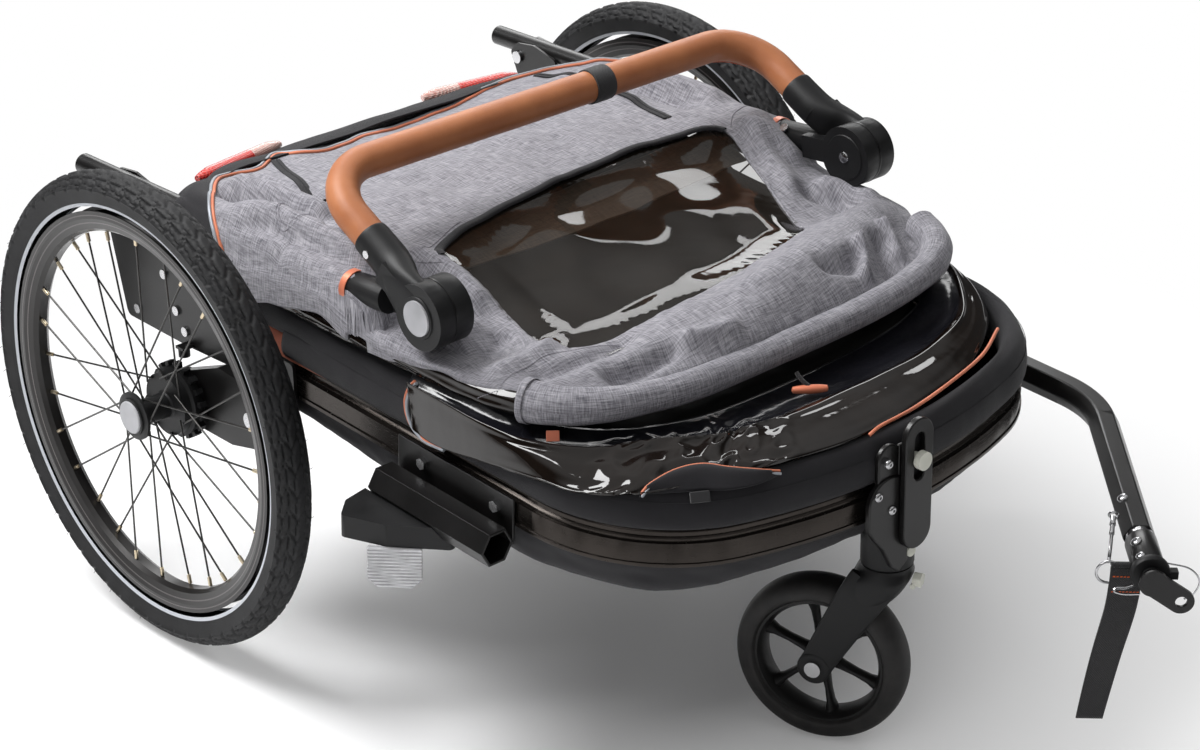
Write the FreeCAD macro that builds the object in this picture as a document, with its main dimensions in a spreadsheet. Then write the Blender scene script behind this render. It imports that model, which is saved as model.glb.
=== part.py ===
import FreeCAD, Part
import math
import os
import Sketcher

doc = FreeCAD.newDocument("bicycle_trailer")

# millimetres and degrees; y runs back from the axle line, z up from the ground
plain = {
    "axle_y": 341.8, "axle_z": 250, "pitch_angle": 3.4, "running_gap": 0.05, "slide_gap": 0.1,
    "soft_gap": 0.4,
    "wheel_x": 362.6, "tyre_centre": 228, "tyre_section": 22, "tyre_wall": 4, "tyre_foot": 211,
    "tyre_span": 60,
    "spoke_radius": 1, "nipple_radius": 2, "nipple_length": 9, "spoke_end": 187.8, "spoke_swing": 52,
    "tooth_width": 6, "tooth_low": 33, "tooth_high": 41, "tooth_start": -42, "tooth_end": -34,
    "stub_radius": 6, "stub_end": 379.6, "cap_radius": 17,
    "arm_inner": 305, "arm_outer": 317, "arm_boss": 28, "arm_pivot_y": -112, "arm_pivot_z": 262,
    "arm_pivot_radius": 5, "arm_pivot_head": 9, "arm_head_start": 317.3, "arm_head_end": 321.3,
    "plate_inner": 299, "plate_outer": 303, "cheek_inner": 270.5, "cheek_outer": 273.5,
    "fold_y": 150, "fold_z": 428, "fold_radius": 4, "fold_head": 7, "fold_inner_end": 267,
    "fold_outer_end": 306,
    "rail_half": 296, "rail_back": 110, "rail_corner_y": -498.8, "rail_corner_radius": 165,
    "rail_front_y": -84,
    "rail_front_radius": 600, "rail_web": 291.5, "rail_face": 294.5, 
    "cross_radius": 11.5, "cross_bore": 9.5, "cross_z": 320.5,
    "spacer_low": 312, "spacer_high": 326, "spacer_depth": 22,
    "buffer_radius": 6, "buffer_x": 311, "buffer_y": 6, "buffer_low": 291.5, "buffer_high": 300,
    "buffer_plate": 3,
    "receiver_x": 317, "receiver_z": 290, "receiver_outer": 19.5, "receiver_start": -315,
    "receiver_length": 163,
    "flange_thickness": 3, "flange_low": 286, "flange_high": 333, "bolt_radius": 6, "bolt_head": 5,
    "wing_low": 262, "wing_high": 285,
    "reflector_x": 355.5, "reflector_y": -378.6, "reflector_width": 51, "reflector_height": 42,
    "reflector_cut": 9,
    "reflector_top": 261.7, "reflector_depth": 5, "reflector_turn": 47,
    "drawbar_outer": 15.9, "drawbar_wall": 2.6, "drawbar_start": -330, "drawbar_corner": -659,
    "drawbar_bend": 110,
    "drawbar_turn": 42.6, "drawbar_tip": 258, "spring_start": 258.2, "spring_pitch": 2.6,
    "spring_radius": 13.5,
    "spring_bore": 5, "coupling_radius": 15, "coupling_start": 266, "coupling_end": 315, 
    "stud_radius": 6, "stud_start": 290, "stud_end": 334, "hitch_plate_thickness": 4,
    "hitch_hole_radius": 5.6,
    "hitch_hole_reach": 32.4, "hitch_angle": -34, "hitch_plate_radius": 12, "hitch_plate_boss": 13,
    "collar_start": 317, "collar_end": 326, "collar_radius": 9, 
    "strap_mid": 300, "strap_thickness": 2.2,
    "ring_radius": 8, "ring_wire": 1.5, "hook_radius": 2.6,
    "bracket_back": -690.3, "bracket_front": -695.3, "bracket_low_half": 60, "bracket_high_half": 41,
    "bracket_low": 253, "bracket_mid": 309, "bracket_high": 337,
    "tab_back": -698.3, "tab_front": -704.3, "tab_half": 19, "tab_low": 236, "tab_high": 361,
    "slot_half": 6, "slot_low": 307, "slot_high": 346, "knob_radius": 9, "knob_front": -711,
    "knob_rod": 5.5,
    "knob_z": 320, "knob_back": -697.6,
    "stem_y": -668, "stem_housing_radius": 25.3, "stem_low": 202, "stem_high": 263, "stem_radius": 8,
    "stem_bore_top": 252, "button_radius": 5.5, "button_z": 222, "button_front": -698,
    "button_back": -690,
    "button_floor": -686,
    "fork_yaw": 24, "trail": 61.3, "caster_radius": 86, "crown_low": 178, "crown_high": 200,
    "crown_half": 29,
    "leg_inner": 24, "leg_thickness": 5, "caster_axle_radius": 5, "caster_head": 8, "caster_head_end": 33,
    "lamp_inner_x": 106, "lamp_inner_y": 112, "lamp_outer_x": 211, "lamp_outer_y": 95,
    "apron_z": 397.5, "apron_lift_near": 14, "apron_lift_far": 20, "apron_back": 7, "apron_end_lift": 3.5,
    "cabin_low_edge": 12, "cabin_high_edge": 10, "ring_across": -26, "ring_height": -13, "hook_start": 246,
    "hook_across": -22, "lever_radius": 2.6, "lever_length": 12, "lever_reach": 8,
    "tub_high": 305.2, "tub_low": 240, "tub_wall": 2.5,
    "roll_x": 285, "roll_z": 438.5, "roll_radius": 11, "roll_bore": 8.5, "roll_back": 200,
    "roll_front": -243.5,
    "lug_inner": 274.2, "lug_outer": 298.4, "lug_front": 138, "lug_back": 162, "lug_low": 416,
    "lug_high": 437,
    "hoop_y": -150, "hoop_radius": 9,
    "hub_y": -362, "hub_z": 448, "hub_radius": 32, "hub_inner": 263, "hub_split": 282.8, "hub_gap": 0.4,
    "hub_outer": 303, "hub_pin": 9, "hub_pin_inner": 262, "hub_pin_outer": 296,
    "base_y": -245, "base_radius": 15, "base_x": 285, "base_block": 33.5, "knuckle": 62,
    "cuff_radius": 17,
    "cuff_length": 8, "block_height": 24,
    "handle_pitch": 28.3, "handle_x": 283, "sleeve_radius": 17.5, "sleeve_end": 101, "bar_reach": 184.4,
    "bar_radius": 11, "bar_corner": 57, "grip_radius": 16.25, "bar_wall": 2,
    "strap_ring_x": 70, "strap_ring_width": 25, "strap_ring_radius": 18.6,
    "press_radius": 17, "press_start": 299.5, "press_end": 306, "press_floor": 297,
    "screw_radius": 4, "screw_height": 1.6, "screw_reach": 84,
    "canopy_wall": 4, "window_wall": 1.2, "window_lift": 1.3, 
    "panel_front": 87, "panel_back": 95, "panel_low": 337.8, "panel_high": 423,
    "ridge_half": 262, "ridge_back": 114, "ridge_low": 416, "ridge_high": 424.2, "block_back": -682.3,
    "block_front": -691, "block_low": 311, "block_side": 22,
    "panel_half": 270.2, "lamp_radius": 8, "lamp_z": 432.5,
    "skirt_inner": 286, "skirt_outer": 290.5, "skirt_front": -126, "skirt_back": 62, "skirt_low": 340.3,
    "skirt_high": 398,
}

# corner points of outlines, in order, a third number being the corner's radius
tables = {
    "rim": ((13.5, 211), (13.5, 203), (9.5, 192), (5, 188.5), (-5, 188.5), (-9.5, 192), (-13.5, 203),
            (-13.5, 211), (-11.7, 211), (-11.7, 206), (-5, 202), (5, 202), (11.7, 206), (11.7, 211)),
    "hub": ((-42, 6.05), (-42, 35), (-31, 36.5), (-29, 33), (-20, 33), (-20, 13, 3), (16, 13, 2), (16,
    25),
            (19, 25), (20.5, 19.5), (22.5, 19.5), (22.5, 17.05), (17.5, 17.05), (17.5, 6.05)),
    "cap": ((20, 0), (24.5, 0), (24.5, 17, 1.5), (20, 17)),
    "spoke": ((15, 21.5, 4), (12.5, 21.5, 1.5), (-18.8, 30, -4), (-16.3, 30, -1.5)),
    "arm": ((4, 277.5), (-60, 302, 8), (-120, 296, 8), (-127, 262), (-120, 232, 8), (-75, 222, 8), (-8,
    223.4)),
    "side": ((134, 386), (158, 432, 4), (161, 439, 4), (151, 444, 6), (90, 438, 12), (22, 374, 12),
    (-24, 345, 12),
             (-165, 335, 6), (-165, 235, 6), (-95, 235, 6), (-90, 300, 12), (8, 298, 6), (114, 301, 8)),
    "cheek": ((153, 409), (163, 432, 5), (153, 444, 6), (124, 447, 8), (88, 438, 10), (76, 400, 6),
    (72, 312, 5),
              (122, 312, 5)),
    "side_bolts": ((94, 314), (42, 368), (25, 333), (12, 314), (-120, 318), (-150, 260)),
    "receiver_bolts": ((-353, 318.5), (-456, 318.5)),
    "cross": ((95, 291.2), (-60, 291.2), (-132, 291.2)),
    "rail": ((0, 305.5), (22, 305.5), (22, 308.5), (4.5, 308.5), (4.5, 326), (8, 329.6), (11, 332.5),
    (22, 332.5),
             (22, 340, 3), (8, 340, 4), (8, 333.4), (5.2, 331.6), (5.2, 329), (1.5, 329), (1.5, 309),
             (0, 309)),
    "band": ((3.5, 340.5, 5), (17.5, 340.5, 4), (16.5, 376, 6), (2.5, 374, 7), (0.5, 357)),
    "wing": ((-383, -333, 6), (-362, -314, 8), (-316, -305), (-313, -428, 6), (-363, -374, 8)),
    "tub_plan": ((-281, 60), (-281, -440), (-254, -547), (-211, -607), (-117, -638), (-60, -637), (60,
    -637),
                 (117, -638), (211, -607), (254, -547), (281, -440), (281, 60)),
    "tub_side": ((61, 320), (61, 294), (-146, 281), (-264, 267), (-560, 259), (-660, 262), (-660, 320)),
    "stem_bolts": ((-29, 322), (29, 322), (-43, 293), (43, 293), (-30, 268), (30, 268)),
    "crown_leg": ((-24, 199), (24, 199), (40, 160, 20), (75, 92, 8), (69, 74, 8), (53, 74, 8), (44, 90,
    10),
                  (-20, 178)),
    "caster_rim": ((-17, 5.05), (-17, 11), (-8, 14, 4), (-6, 56, 6), (-15, 60), (-15, 64), (15, 64),
    (15, 60),
                   (6, 56, 6), (8, 14, 4), (17, 11), (17, 5.05)),
    "caster_tyre": ((-15, 64), (-20, 68, 3), (-17, 80, 8), (-8, 86, 8), (8, 86, 8), (17, 80, 8), (20,
    68, 3),
                    (15, 64)),
    "strap": ((-3.3, -20.5), (-12, -95), (-23.5, -170), (-48.5, -170), (-42, -95), (-32.7, -20.5)),
    "lock": ((-5, 0, 2), (5, 0, 2), (8, 9, 3), (0, 13, 3), (-8, 9, 3)),
}

# soft pieces as rows of plan x, plan y, centre height, half width and half height
rolls = {
    "film": ((-281, -150, 373.8, 9, 6), (-285, -230, 374.4, 12, 11), (-290, -323, 370.9, 13, 13),
             (-299, -440, 361.9, 13, 11), (-296, -510, 357.8, 13, 11), (-262, -585, 356.4, 14, 14),
             (-195, -634, 353.5, 15, 14), (-102, -660, 351.2, 14, 13), (0, -668, 351.7, 14, 14),
             (102, -655, 351.5, 15, 13), (195, -619, 354.6, 14, 14), (262, -556, 357.3, 13, 13),
             (292, -490, 358.9, 13, 11), (296, -400, 365.3, 12, 12), (290, -300, 370.4, 11, 11),
             (284, -200, 373.1, 9, 8)),
    "hem": ((-283, -452, 393, 15, 15), (-279, -487, 391, 17, 17), (-229, -551, 391, 19, 18), (-137,
    -584, 391, 19, 19),
            (-11, -592, 391, 20, 19), (127, -570, 391, 19, 19), (207, -540, 391, 19, 18), (262, -497,
            391, 17, 17),
            (281, -452, 394, 15, 14)),
}
# canopy sections as rows of y, centre height, shoulder height and edge height, then the half widths
covers = {
    "canopy": ((78, 433, 453.5, 408, 281, 292.4), (20, 448, 453.5, 404, 282, 294.2), (-60, 457, 454,
    401, 284, 302),
               (-150, 461, 454.5, 400, 284, 302), (-225, 461, 455, 400, 284, 303), (-241, 459, 424,
               398, 280, 304),
               (-262, 455, 411, 396, 282, 306), (-330, 432, 410, 391, 284, 313), (-399, 404, 403, 386,
               284, 311)),
    "apron": ((-240, -392), (-238, -392), (-200, -388), (-120, -384), (-5, -382), (110, -384), (190,
    -388),
              (236, -392), (238, -392)),
    "cabin": ((66, 340, 398, 254), (0, 336, 426, 257), (-100, 330, 424, 258), (-150, 327, 422, 258),
              (-235, 322, 418, 252), (-330, 317, 396, 250), (-398, 313, 384, 246), (-470, 310, 388, 234),
              (-530, 307, 384, 210), (-568, 305, 366, 172)),
}


class Size(float):
    def __new__(cls, value, text):
        size = float.__new__(cls, value)
        size.text = text
        return size

    def joined(self, sign, other, value, swapped=False):
        pair = [self.text, getattr(other, "text", "(%.9f)" % float(other))]
        if swapped:
            pair.reverse()
        return Size(value, "(" + sign.join(pair) + ")")

    def __add__(self, other):
        return self.joined(" + ", other, float(self) + float(other))

    def __radd__(self, other):
        return self.joined(" + ", other, float(other) + float(self), True)

    def __sub__(self, other):
        return self.joined(" - ", other, float(self) - float(other))

    def __rsub__(self, other):
        return self.joined(" - ", other, float(other) - float(self), True)

    def __mul__(self, other):
        return self.joined(" * ", other, float(self) * float(other))

    def __rmul__(self, other):
        return self.joined(" * ", other, float(other) * float(self), True)

    def __truediv__(self, other):
        return self.joined(" / ", other, float(self) / float(other))

    def __neg__(self):
        return Size(-float(self), "(-1 * " + self.text + ")")


class Sizes:
    def __init__(self):
        self.sheet = doc.addObject("Spreadsheet::Sheet", "sizes")
        self.row = 0

    def put(self, name, value):
        self.row += 1
        cell = "A%d" % self.row
        self.sheet.set("B%d" % self.row, name)
        self.sheet.set(cell, repr(value))
        self.sheet.setAlias(cell, name)
        size = Size(value, "sizes." + name)
        setattr(self, name, size)
        return size


d = Sizes()
for name, value in plain.items():
    d.put(name, value)
places = {}
for group in (tables, rolls, covers):
    for name, rows in group.items():
        places[name] = []
        for index, row in enumerate(rows):
            places[name].append([d.put("%s_point_%d_%d" % (name, index + 1, column + 1), value)
                                 for column, value in enumerate(row)])
doc.recompute()

nodes = {}
vec = FreeCAD.Vector
right, left = -1, 1
xAxis, yAxis, zAxis = vec(1, 0, 0), vec(0, 1, 0), vec(0, 0, 1)
still = FreeCAD.Rotation()


def shift(x, y, z):
    return FreeCAD.Placement(vec(x, y, z), still)


def spin(axis, angle):
    return FreeCAD.Placement(vec(), FreeCAD.Rotation(axis, angle))


trailer = shift(0, d.axle_y, 0)
pitched = shift(0, d.axle_y, d.axle_z) * spin(xAxis, d.pitch_angle) * shift(0, 0, -d.axle_z)


def bind(item, name, size):
    setattr(item, name, float(size))
    if isinstance(size, Size):
        item.setExpression(name, size.text)


def solid(kind, frame, **values):
    item = doc.addObject("Part::" + kind, kind.lower())
    for name, size in values.items():
        bind(item, name, size)
    item.Placement = frame
    return item


def aimed(start, direction):
    return FreeCAD.Placement(vec(*start), FreeCAD.Rotation(zAxis, vec(*direction)))


def rod(frame, start, direction, radius, height):
    return solid("Cylinder", frame * aimed(start, direction), Radius=radius, Height=height)


def box(frame, low, high):
    spans = [high[k] - low[k] for k in range(3)]
    return solid("Box", frame * shift(*low), Length=spans[0], Width=spans[1], Height=spans[2])


def ball(frame, centre, radius):
    return solid("Sphere", frame * shift(*centre), Radius=radius)


def ring(frame, start, direction, radius, wire):
    return solid("Torus", frame * aimed(start, direction), Radius1=radius, Radius2=wire)


def hexagon(frame, start, direction, radius, height):
    item = solid("Prism", frame * aimed(start, direction), Circumradius=radius, Height=height)
    item.Polygon = 6
    return item


def fuse(*items):
    item = doc.addObject("Part::MultiFuse", "joined")
    item.Shapes = list(items)
    return item


def group(*items):
    item = doc.addObject("Part::Compound", "set")
    item.Links = list(items)
    return item


def cut(base, *tools):
    item = doc.addObject("Part::Cut", "trimmed")
    item.Base = base
    item.Tool = fuse(*tools) if len(tools) > 1 else tools[0]
    return item


def common(base, tool):
    item = doc.addObject("Part::Common", "shared")
    item.Base = base
    item.Tool = tool
    return item


def node(name, *items):
    item = items[0] if len(items) == 1 else group(*items)
    item.Label = name
    nodes[name] = item
    return item


def inner(side, low, high):
    """the lower x of a span that lies between two distances out from the middle"""
    return low if side == left else -high


def outer(side, low, high):
    return high if side == left else -low


def rounded(corners, closed=True):
    """corner rows as a chain of points, an arc's end carrying its radius and midpoint"""
    count = len(corners)
    chain = []
    for index, row in enumerate(corners):
        x, y = row[0], row[1]
        radius = row[2] if len(row) > 2 else 0
        if not radius or (not closed and index in (0, count - 1)):
            chain.append((x, y, None))
            continue
        before, after = corners[index - 1], corners[(index + 1) % count]
        back = vec(before[0] - x, before[1] - y, 0).normalize()
        on = vec(after[0] - x, after[1] - y, 0).normalize()
        half = back.getAngle(on) / 2
        reach = radius * (1 / math.tan(half))
        middle = (back + on).normalize()
        deep = float(radius) / math.sin(half)
        via = vec(x, y, 0) + middle * (deep - float(radius))
        chain.append((x + reach * back.x, y + reach * back.y, None))
        chain.append((x + reach * on.x, y + reach * on.y, (radius, via)))
    return chain


def sketch(body, role, chain, closed=True):
    item = body.newObject("Sketcher::SketchObject", "outline")
    item.AttachmentSupport = (next(f for f in body.Origin.OriginFeatures if f.Role == role), [""])
    item.MapMode = "FlatFace"
    pairs = list(zip(chain, chain[1:] + chain[:1])) if closed else list(zip(chain, chain[1:]))
    shapes = []
    for start, end in pairs:
        first, last = vec(start[0], start[1], 0), vec(end[0], end[1], 0)
        if end[2]:
            if (end[2][1] - first).cross(last - end[2][1]).z < 0:
                first, last = last, first
            shapes.append(Part.Arc(first, end[2][1], last))
        else:
            shapes.append(Part.LineSegment(first, last))
    item.addGeometry(shapes)

    def end_at(index, point):
        edge = item.Geometry[index]
        target = vec(point[0], point[1], 0)
        return 1 if edge.StartPoint.distanceToPoint(target) < edge.EndPoint.distanceToPoint(target) else 2

    def fix(kind, size, *where):
        index = item.addConstraint(Sketcher.Constraint(kind, *where, float(size)))
        if isinstance(size, Size):
            item.setExpression("Constraints[%d]" % index, size.text)

    for index, (start, end) in enumerate(pairs):
        fix("DistanceX", start[0], -1, 1, index, end_at(index, start))
        fix("DistanceY", start[1], -1, 1, index, end_at(index, start))
        if end[2]:
            fix("Radius", end[2][0], index)
        follower = (index + 1) % len(pairs)
        if closed or follower:
            item.addConstraint(Sketcher.Constraint(
                "Coincident", index, end_at(index, end), follower, end_at(follower, end)))
        else:
            fix("DistanceX", end[0], -1, 1, index, end_at(index, end))
            fix("DistanceY", end[1], -1, 1, index, end_at(index, end))
    return item


def start_body(frame):
    body = doc.addObject("PartDesign::Body", "body")
    body.Placement = frame
    return body


def pad(frame, role, corners, length):
    body = start_body(frame)
    profile = sketch(body, role, rounded(corners))
    feature = body.newObject("PartDesign::Pad", "pad")
    feature.Profile = profile
    bind(feature, "Length", length)
    return body


def turned(frame, corners):
    body = start_body(frame)
    profile = sketch(body, "XY_Plane", rounded(corners))
    feature = body.newObject("PartDesign::Revolution", "turned")
    feature.Profile = profile
    feature.ReferenceAxis = (profile, ["H_Axis"])
    feature.Angle = 360
    return body


def circle(body, role, radius):
    item = body.newObject("Sketcher::SketchObject", "round")
    item.AttachmentSupport = (next(f for f in body.Origin.OriginFeatures if f.Role == role), [""])
    item.MapMode = "FlatFace"
    radii = [radius] if isinstance(radius, float) else radius
    for index, size in enumerate(radii):
        item.addGeometry(Part.Circle(vec(), zAxis, float(size)))
        item.addConstraint(Sketcher.Constraint("Coincident", index, 3, -1, 1))
        constraint = item.addConstraint(Sketcher.Constraint("Radius", index, float(size)))
        item.setExpression("Constraints[%d]" % constraint, size.text)
    return item


def piped(frame, path, closed_profile):
    """path sketch from the origin, profile made by the given function on the plane across its start"""
    body = start_body(frame)
    spine = sketch(body, "XY_Plane", path, False)
    profile = closed_profile(body)
    doc.recompute()
    feature = body.newObject("PartDesign::AdditivePipe", "pipe")
    feature.Profile = profile
    feature.Spine = (spine, ["Edge%d" % (index + 1) for index in range(len(path) - 1)])
    return body


def made(shape):
    item = doc.addObject("Part::Feature", "form")
    item.Shape = shape
    return item


def closed_spline(points):
    curve = Part.BSplineCurve()
    curve.interpolate(Points=points, PeriodicFlag=True)
    return Part.Wire([curve.toShape()])


def open_spline(points):
    curve = Part.BSplineCurve()
    curve.interpolate(Points=points)
    return curve.toShape()


# wheels
def wheel_frame(side):
    return trailer * shift(side * d.wheel_x, 0, d.axle_z) * spin(zAxis, 0 if side == left else 180)


def tyre(side):
    frame = wheel_frame(side)
    full = ring(frame, (0, 0, 0), xAxis, d.tyre_centre, d.tyre_section)
    hollow = ring(frame, (0, 0, 0), xAxis, d.tyre_centre, d.tyre_section - d.tyre_wall)
    foot = rod(frame, (-d.tyre_span / 2, 0, 0), xAxis, d.tyre_foot, d.tyre_span)
    return cut(full, hollow, foot)


def spokes(side):
    parts = []
    for row, (hub_x, hub_radius, rim_x) in enumerate(places["spoke"]):
        swing = d.spoke_swing * (1 if row % 2 else -1)
        for step in range(7):
            rim_angle = math.radians(360 / 28 * (4 * step + row))
            hub_angle = rim_angle + math.radians(swing)
            foot = vec(hub_x, hub_radius * math.cos(hub_angle), hub_radius * math.sin(hub_angle))
            head = vec(rim_x, d.spoke_end * math.cos(rim_angle), d.spoke_end * math.sin(rim_angle))
            run = head - foot
            wire = rod(wheel_frame(side), foot, run, d.spoke_radius,
                    d.spoke_end * (run.Length / d.spoke_end))
            along = run.normalize()
            parts.append(fuse(wire, rod(wheel_frame(side), head - along * d.nipple_length, along,
                    d.nipple_radius,
                                        d.nipple_length)))
    return group(*parts)


def hub(side):
    frame = wheel_frame(side)
    teeth = [box(frame * spin(xAxis, 20 * step), (d.tooth_start, -d.tooth_width / 2, d.tooth_low),
                 (d.tooth_end, d.tooth_width / 2, d.tooth_high)) for step in range(18)]
    return fuse(turned(frame, places["hub"]), *teeth)


def suspension_arm(side):
    shape = pad(trailer * shift(inner(side, d.arm_inner, d.arm_outer), 0, 0), "YZ_Plane", places["arm"],
                d.arm_outer - d.arm_inner)
    boss = rod(trailer, (inner(side, d.arm_inner, d.arm_outer), 0, d.axle_z), xAxis, d.arm_boss,
               d.arm_outer - d.arm_inner)
    stub = rod(trailer, (side * d.arm_inner, 0, d.axle_z), xAxis * side, d.stub_radius,
            d.stub_end - d.arm_inner)
    bore = rod(trailer, (side * d.plate_outer, d.arm_pivot_y, d.arm_pivot_z), xAxis * side,
               d.arm_pivot_radius + d.running_gap, d.arm_outer)
    return cut(fuse(shape, boss, stub), bore)


for side, word in ((right, "right"), (left, "left")):
    node("tyre_" + word, tyre(side))
    node("rim_" + word, turned(wheel_frame(side), places["rim"]))
    node("spokes_" + word, spokes(side))
    node("hub_" + word, hub(side))
    node("axle_cap_" + word, turned(wheel_frame(side), places["cap"]))
    node("suspension_arm_" + word, suspension_arm(side))


# side plates, cheeks and pins
def pin(side, start, end, y, z, radius):
    return rod(trailer, (side * start, y, z), xAxis * side, radius, end - start)


def side_plate(side):
    plate = pad(trailer * shift(inner(side, d.plate_inner, d.plate_outer), 0, 0), "YZ_Plane",
            places["side"],
                d.plate_outer - d.plate_inner)
    spacers = [box(pitched, (inner(side, d.rail_face, d.plate_inner), y, d.spacer_low),
                   (outer(side, d.rail_face, d.plate_inner), y + d.spacer_depth, d.spacer_high))
               for y in (d.spacer_depth, -d.spacer_depth * 6)]
    tab = box(trailer, (inner(side, d.plate_inner, d.arm_outer), d.buffer_y - d.buffer_radius,
            d.buffer_high),
              (outer(side, d.plate_inner, d.arm_outer), d.buffer_y + d.buffer_radius,
               d.buffer_high + d.buffer_plate))
    hole = pin(side, d.rail_face, d.arm_outer, d.fold_y, d.fold_z, d.fold_radius)
    return cut(fuse(plate, tab, *spacers), hole)


def cheek(side):
    plate = pad(trailer * shift(inner(side, d.cheek_inner, d.cheek_outer), 0, 0), "YZ_Plane",
            places["cheek"],
                d.cheek_outer - d.cheek_inner)
    hole = pin(side, d.hub_pin_inner, d.arm_outer, d.fold_y, d.fold_z, d.fold_radius)
    tube = rod(pitched, (-d.rail_web, places["cross"][0][0], d.cross_z), xAxis, d.cross_radius,
            d.rail_web * 2)
    return cut(plate, hole, tube)


def fold_bolt(side):
    return fuse(pin(side, d.fold_inner_end, d.fold_outer_end, d.fold_y, d.fold_z, d.fold_radius),
                pin(side, d.fold_inner_end, d.cheek_inner, d.fold_y, d.fold_z, d.fold_head),
                pin(side, d.plate_outer, d.fold_outer_end, d.fold_y, d.fold_z, d.fold_head))


def arm_pin(side):
    return fuse(pin(side, d.plate_outer, d.arm_head_end, d.arm_pivot_y, d.arm_pivot_z,
            d.arm_pivot_radius),
                pin(side, d.arm_head_start, d.arm_head_end, d.arm_pivot_y, d.arm_pivot_z,
                d.arm_pivot_head))


both = (right, left)
node("side_plates", *[side_plate(side) for side in both])
node("inner_cheeks", *[cheek(side) for side in both])
node("fold_bolts", *[fold_bolt(side) for side in both])
node("arm_pivots", *[arm_pin(side) for side in both])
node("suspension_buffers", *[rod(trailer, (side * d.buffer_x, d.buffer_y, d.buffer_low), zAxis,
        d.buffer_radius,
                                 d.buffer_high - d.buffer_low) for side in both])
bolts = [pin(side, d.plate_outer, d.plate_outer + d.bolt_head / 2, y, z, d.bolt_radius / 1.2)
         for side in both for y, z in places["side_bolts"][:4]]
flange_face = d.rail_half + d.flange_thickness
for side in both:
    for y, z in places["receiver_bolts"]:
        bolts.append(hexagon(pitched, (side * flange_face, y, z), xAxis * side, d.bolt_radius,
                d.bolt_head))
node("chassis_bolts", *bolts)

# floor rail, cross tubes and tub
spread = vec(-d.rail_half + d.rail_corner_radius, d.rail_corner_y - d.rail_front_y, 0).normalize()
meet_x, meet_y = d.rail_front_radius * spread.x, d.rail_front_y + d.rail_front_radius * spread.y
corner_x = d.rail_corner_radius - d.rail_half


def arc_via(centre_x, centre_y, radius, first, last):
    middle = (first + last).normalize()
    return vec(centre_x, centre_y, 0) + middle * float(radius)


def plan_path(inset):
    """the rail's plan line from its right rear end, as seen from that end"""
    radius, front = d.rail_corner_radius - inset, d.rail_front_radius - inset
    near = (spread.x * radius + corner_x, spread.y * radius + d.rail_corner_y)
    start = (inset - d.rail_half, d.rail_back)
    across = vec(-spread.x, spread.y, 0)
    ahead = vec(0, -1, 0)
    corner_mid = arc_via(corner_x, d.rail_corner_y, radius, vec(-1, 0, 0), spread)
    front_mid = arc_via(0, d.rail_front_y, front, spread, across)
    far_mid = arc_via(-corner_x, d.rail_corner_y, radius, across, vec(1, 0, 0))
    rows = [(start[0], start[1], None), (start[0], d.rail_corner_y, None), (near[0], near[1], (radius,
            corner_mid)),
            (-near[0], near[1], (front, front_mid)), (-start[0], d.rail_corner_y, (radius, far_mid)),
            (-start[0], start[1], None)]
    moved = []
    for x, y, arc in rows:
        via = None
        if arc:
            via = (arc[0], arc[1] - vec(-d.rail_half, d.rail_back, 0))
        moved.append((x + d.rail_half, y - d.rail_back, via))
    moved[0] = (0, 0, None)
    return moved


def swept(name, start_y):
    """a profile carried round the rail's plan line"""
    path = plan_path(0)
    lift = start_y - d.rail_back
    placed = [(x, y - lift, (arc[0], arc[1] - vec(0, lift, 0)) if arc else None) for x, y, arc in path]
    placed[0] = (0, 0, None)
    placed[-1] = (path[-1][0], 0, None)
    return piped(pitched * shift(-d.rail_half, start_y, 0), placed,
                 lambda body: sketch(body, "XZ_Plane", rounded(places[name])))


node("floor_rail", swept("rail", d.rail_back))
node("bumper_band", swept("band", -d.spacer_depth * 6))
tubes = []
for y, reach in places["cross"]:
    tube = cut(rod(pitched, (-reach, y, d.cross_z), xAxis, d.cross_radius, reach * 2),
               rod(pitched, (-reach, y, d.cross_z), xAxis, d.cross_bore, reach * 2))
    tubes.append(cut(tube, nodes["floor_rail"]))
node("cross_tubes", *tubes)
tub = common(pad(pitched * shift(0, 0, d.tub_low), "XY_Plane", places["tub_plan"],
        d.tub_high - d.tub_low),
             pad(pitched * shift(-d.rail_half, 0, 0), "YZ_Plane", places["tub_side"], d.rail_half * 2))
doc.recompute()
lid = max(range(len(tub.Shape.Faces)),
        key=lambda k: tub.Shape.Faces[k].CenterOfMass.z + tub.Shape.Faces[k].Area)
shell = doc.addObject("Part::Thickness", "shell")
shell.Faces = (tub, ["Face%d" % (lid + 1)])
bind(shell, "Value", -d.tub_wall)
node("floor_tub", shell)


# receivers, covers and reflectors
def receiver(side):
    start = (side * d.receiver_x, d.receiver_start, d.receiver_z)
    bore = d.drawbar_outer + d.slide_gap
    tube = hexagon(pitched, start, -yAxis, d.receiver_outer, d.receiver_length)
    flange = box(pitched, (inner(side, d.rail_half, flange_face), d.receiver_start - d.receiver_length,
            d.flange_low),
                 (outer(side, d.rail_half, flange_face), d.receiver_start, d.flange_high))
    return cut(fuse(tube, flange), hexagon(pitched, start, -yAxis, bore, d.receiver_length))


def wing(side):
    corners = [[row[0] * (-side), row[1]] + row[2:] for row in places["wing"]]
    cover = pad(pitched * shift(0, 0, d.wing_low), "XY_Plane", corners, d.wing_high - d.wing_low)
    tool = hexagon(pitched, (side * d.receiver_x, d.receiver_start + d.receiver_length, d.receiver_z),
            -yAxis,
                   d.receiver_outer + d.soft_gap, d.receiver_length * 3)
    return cut(cover, tool)


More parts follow.
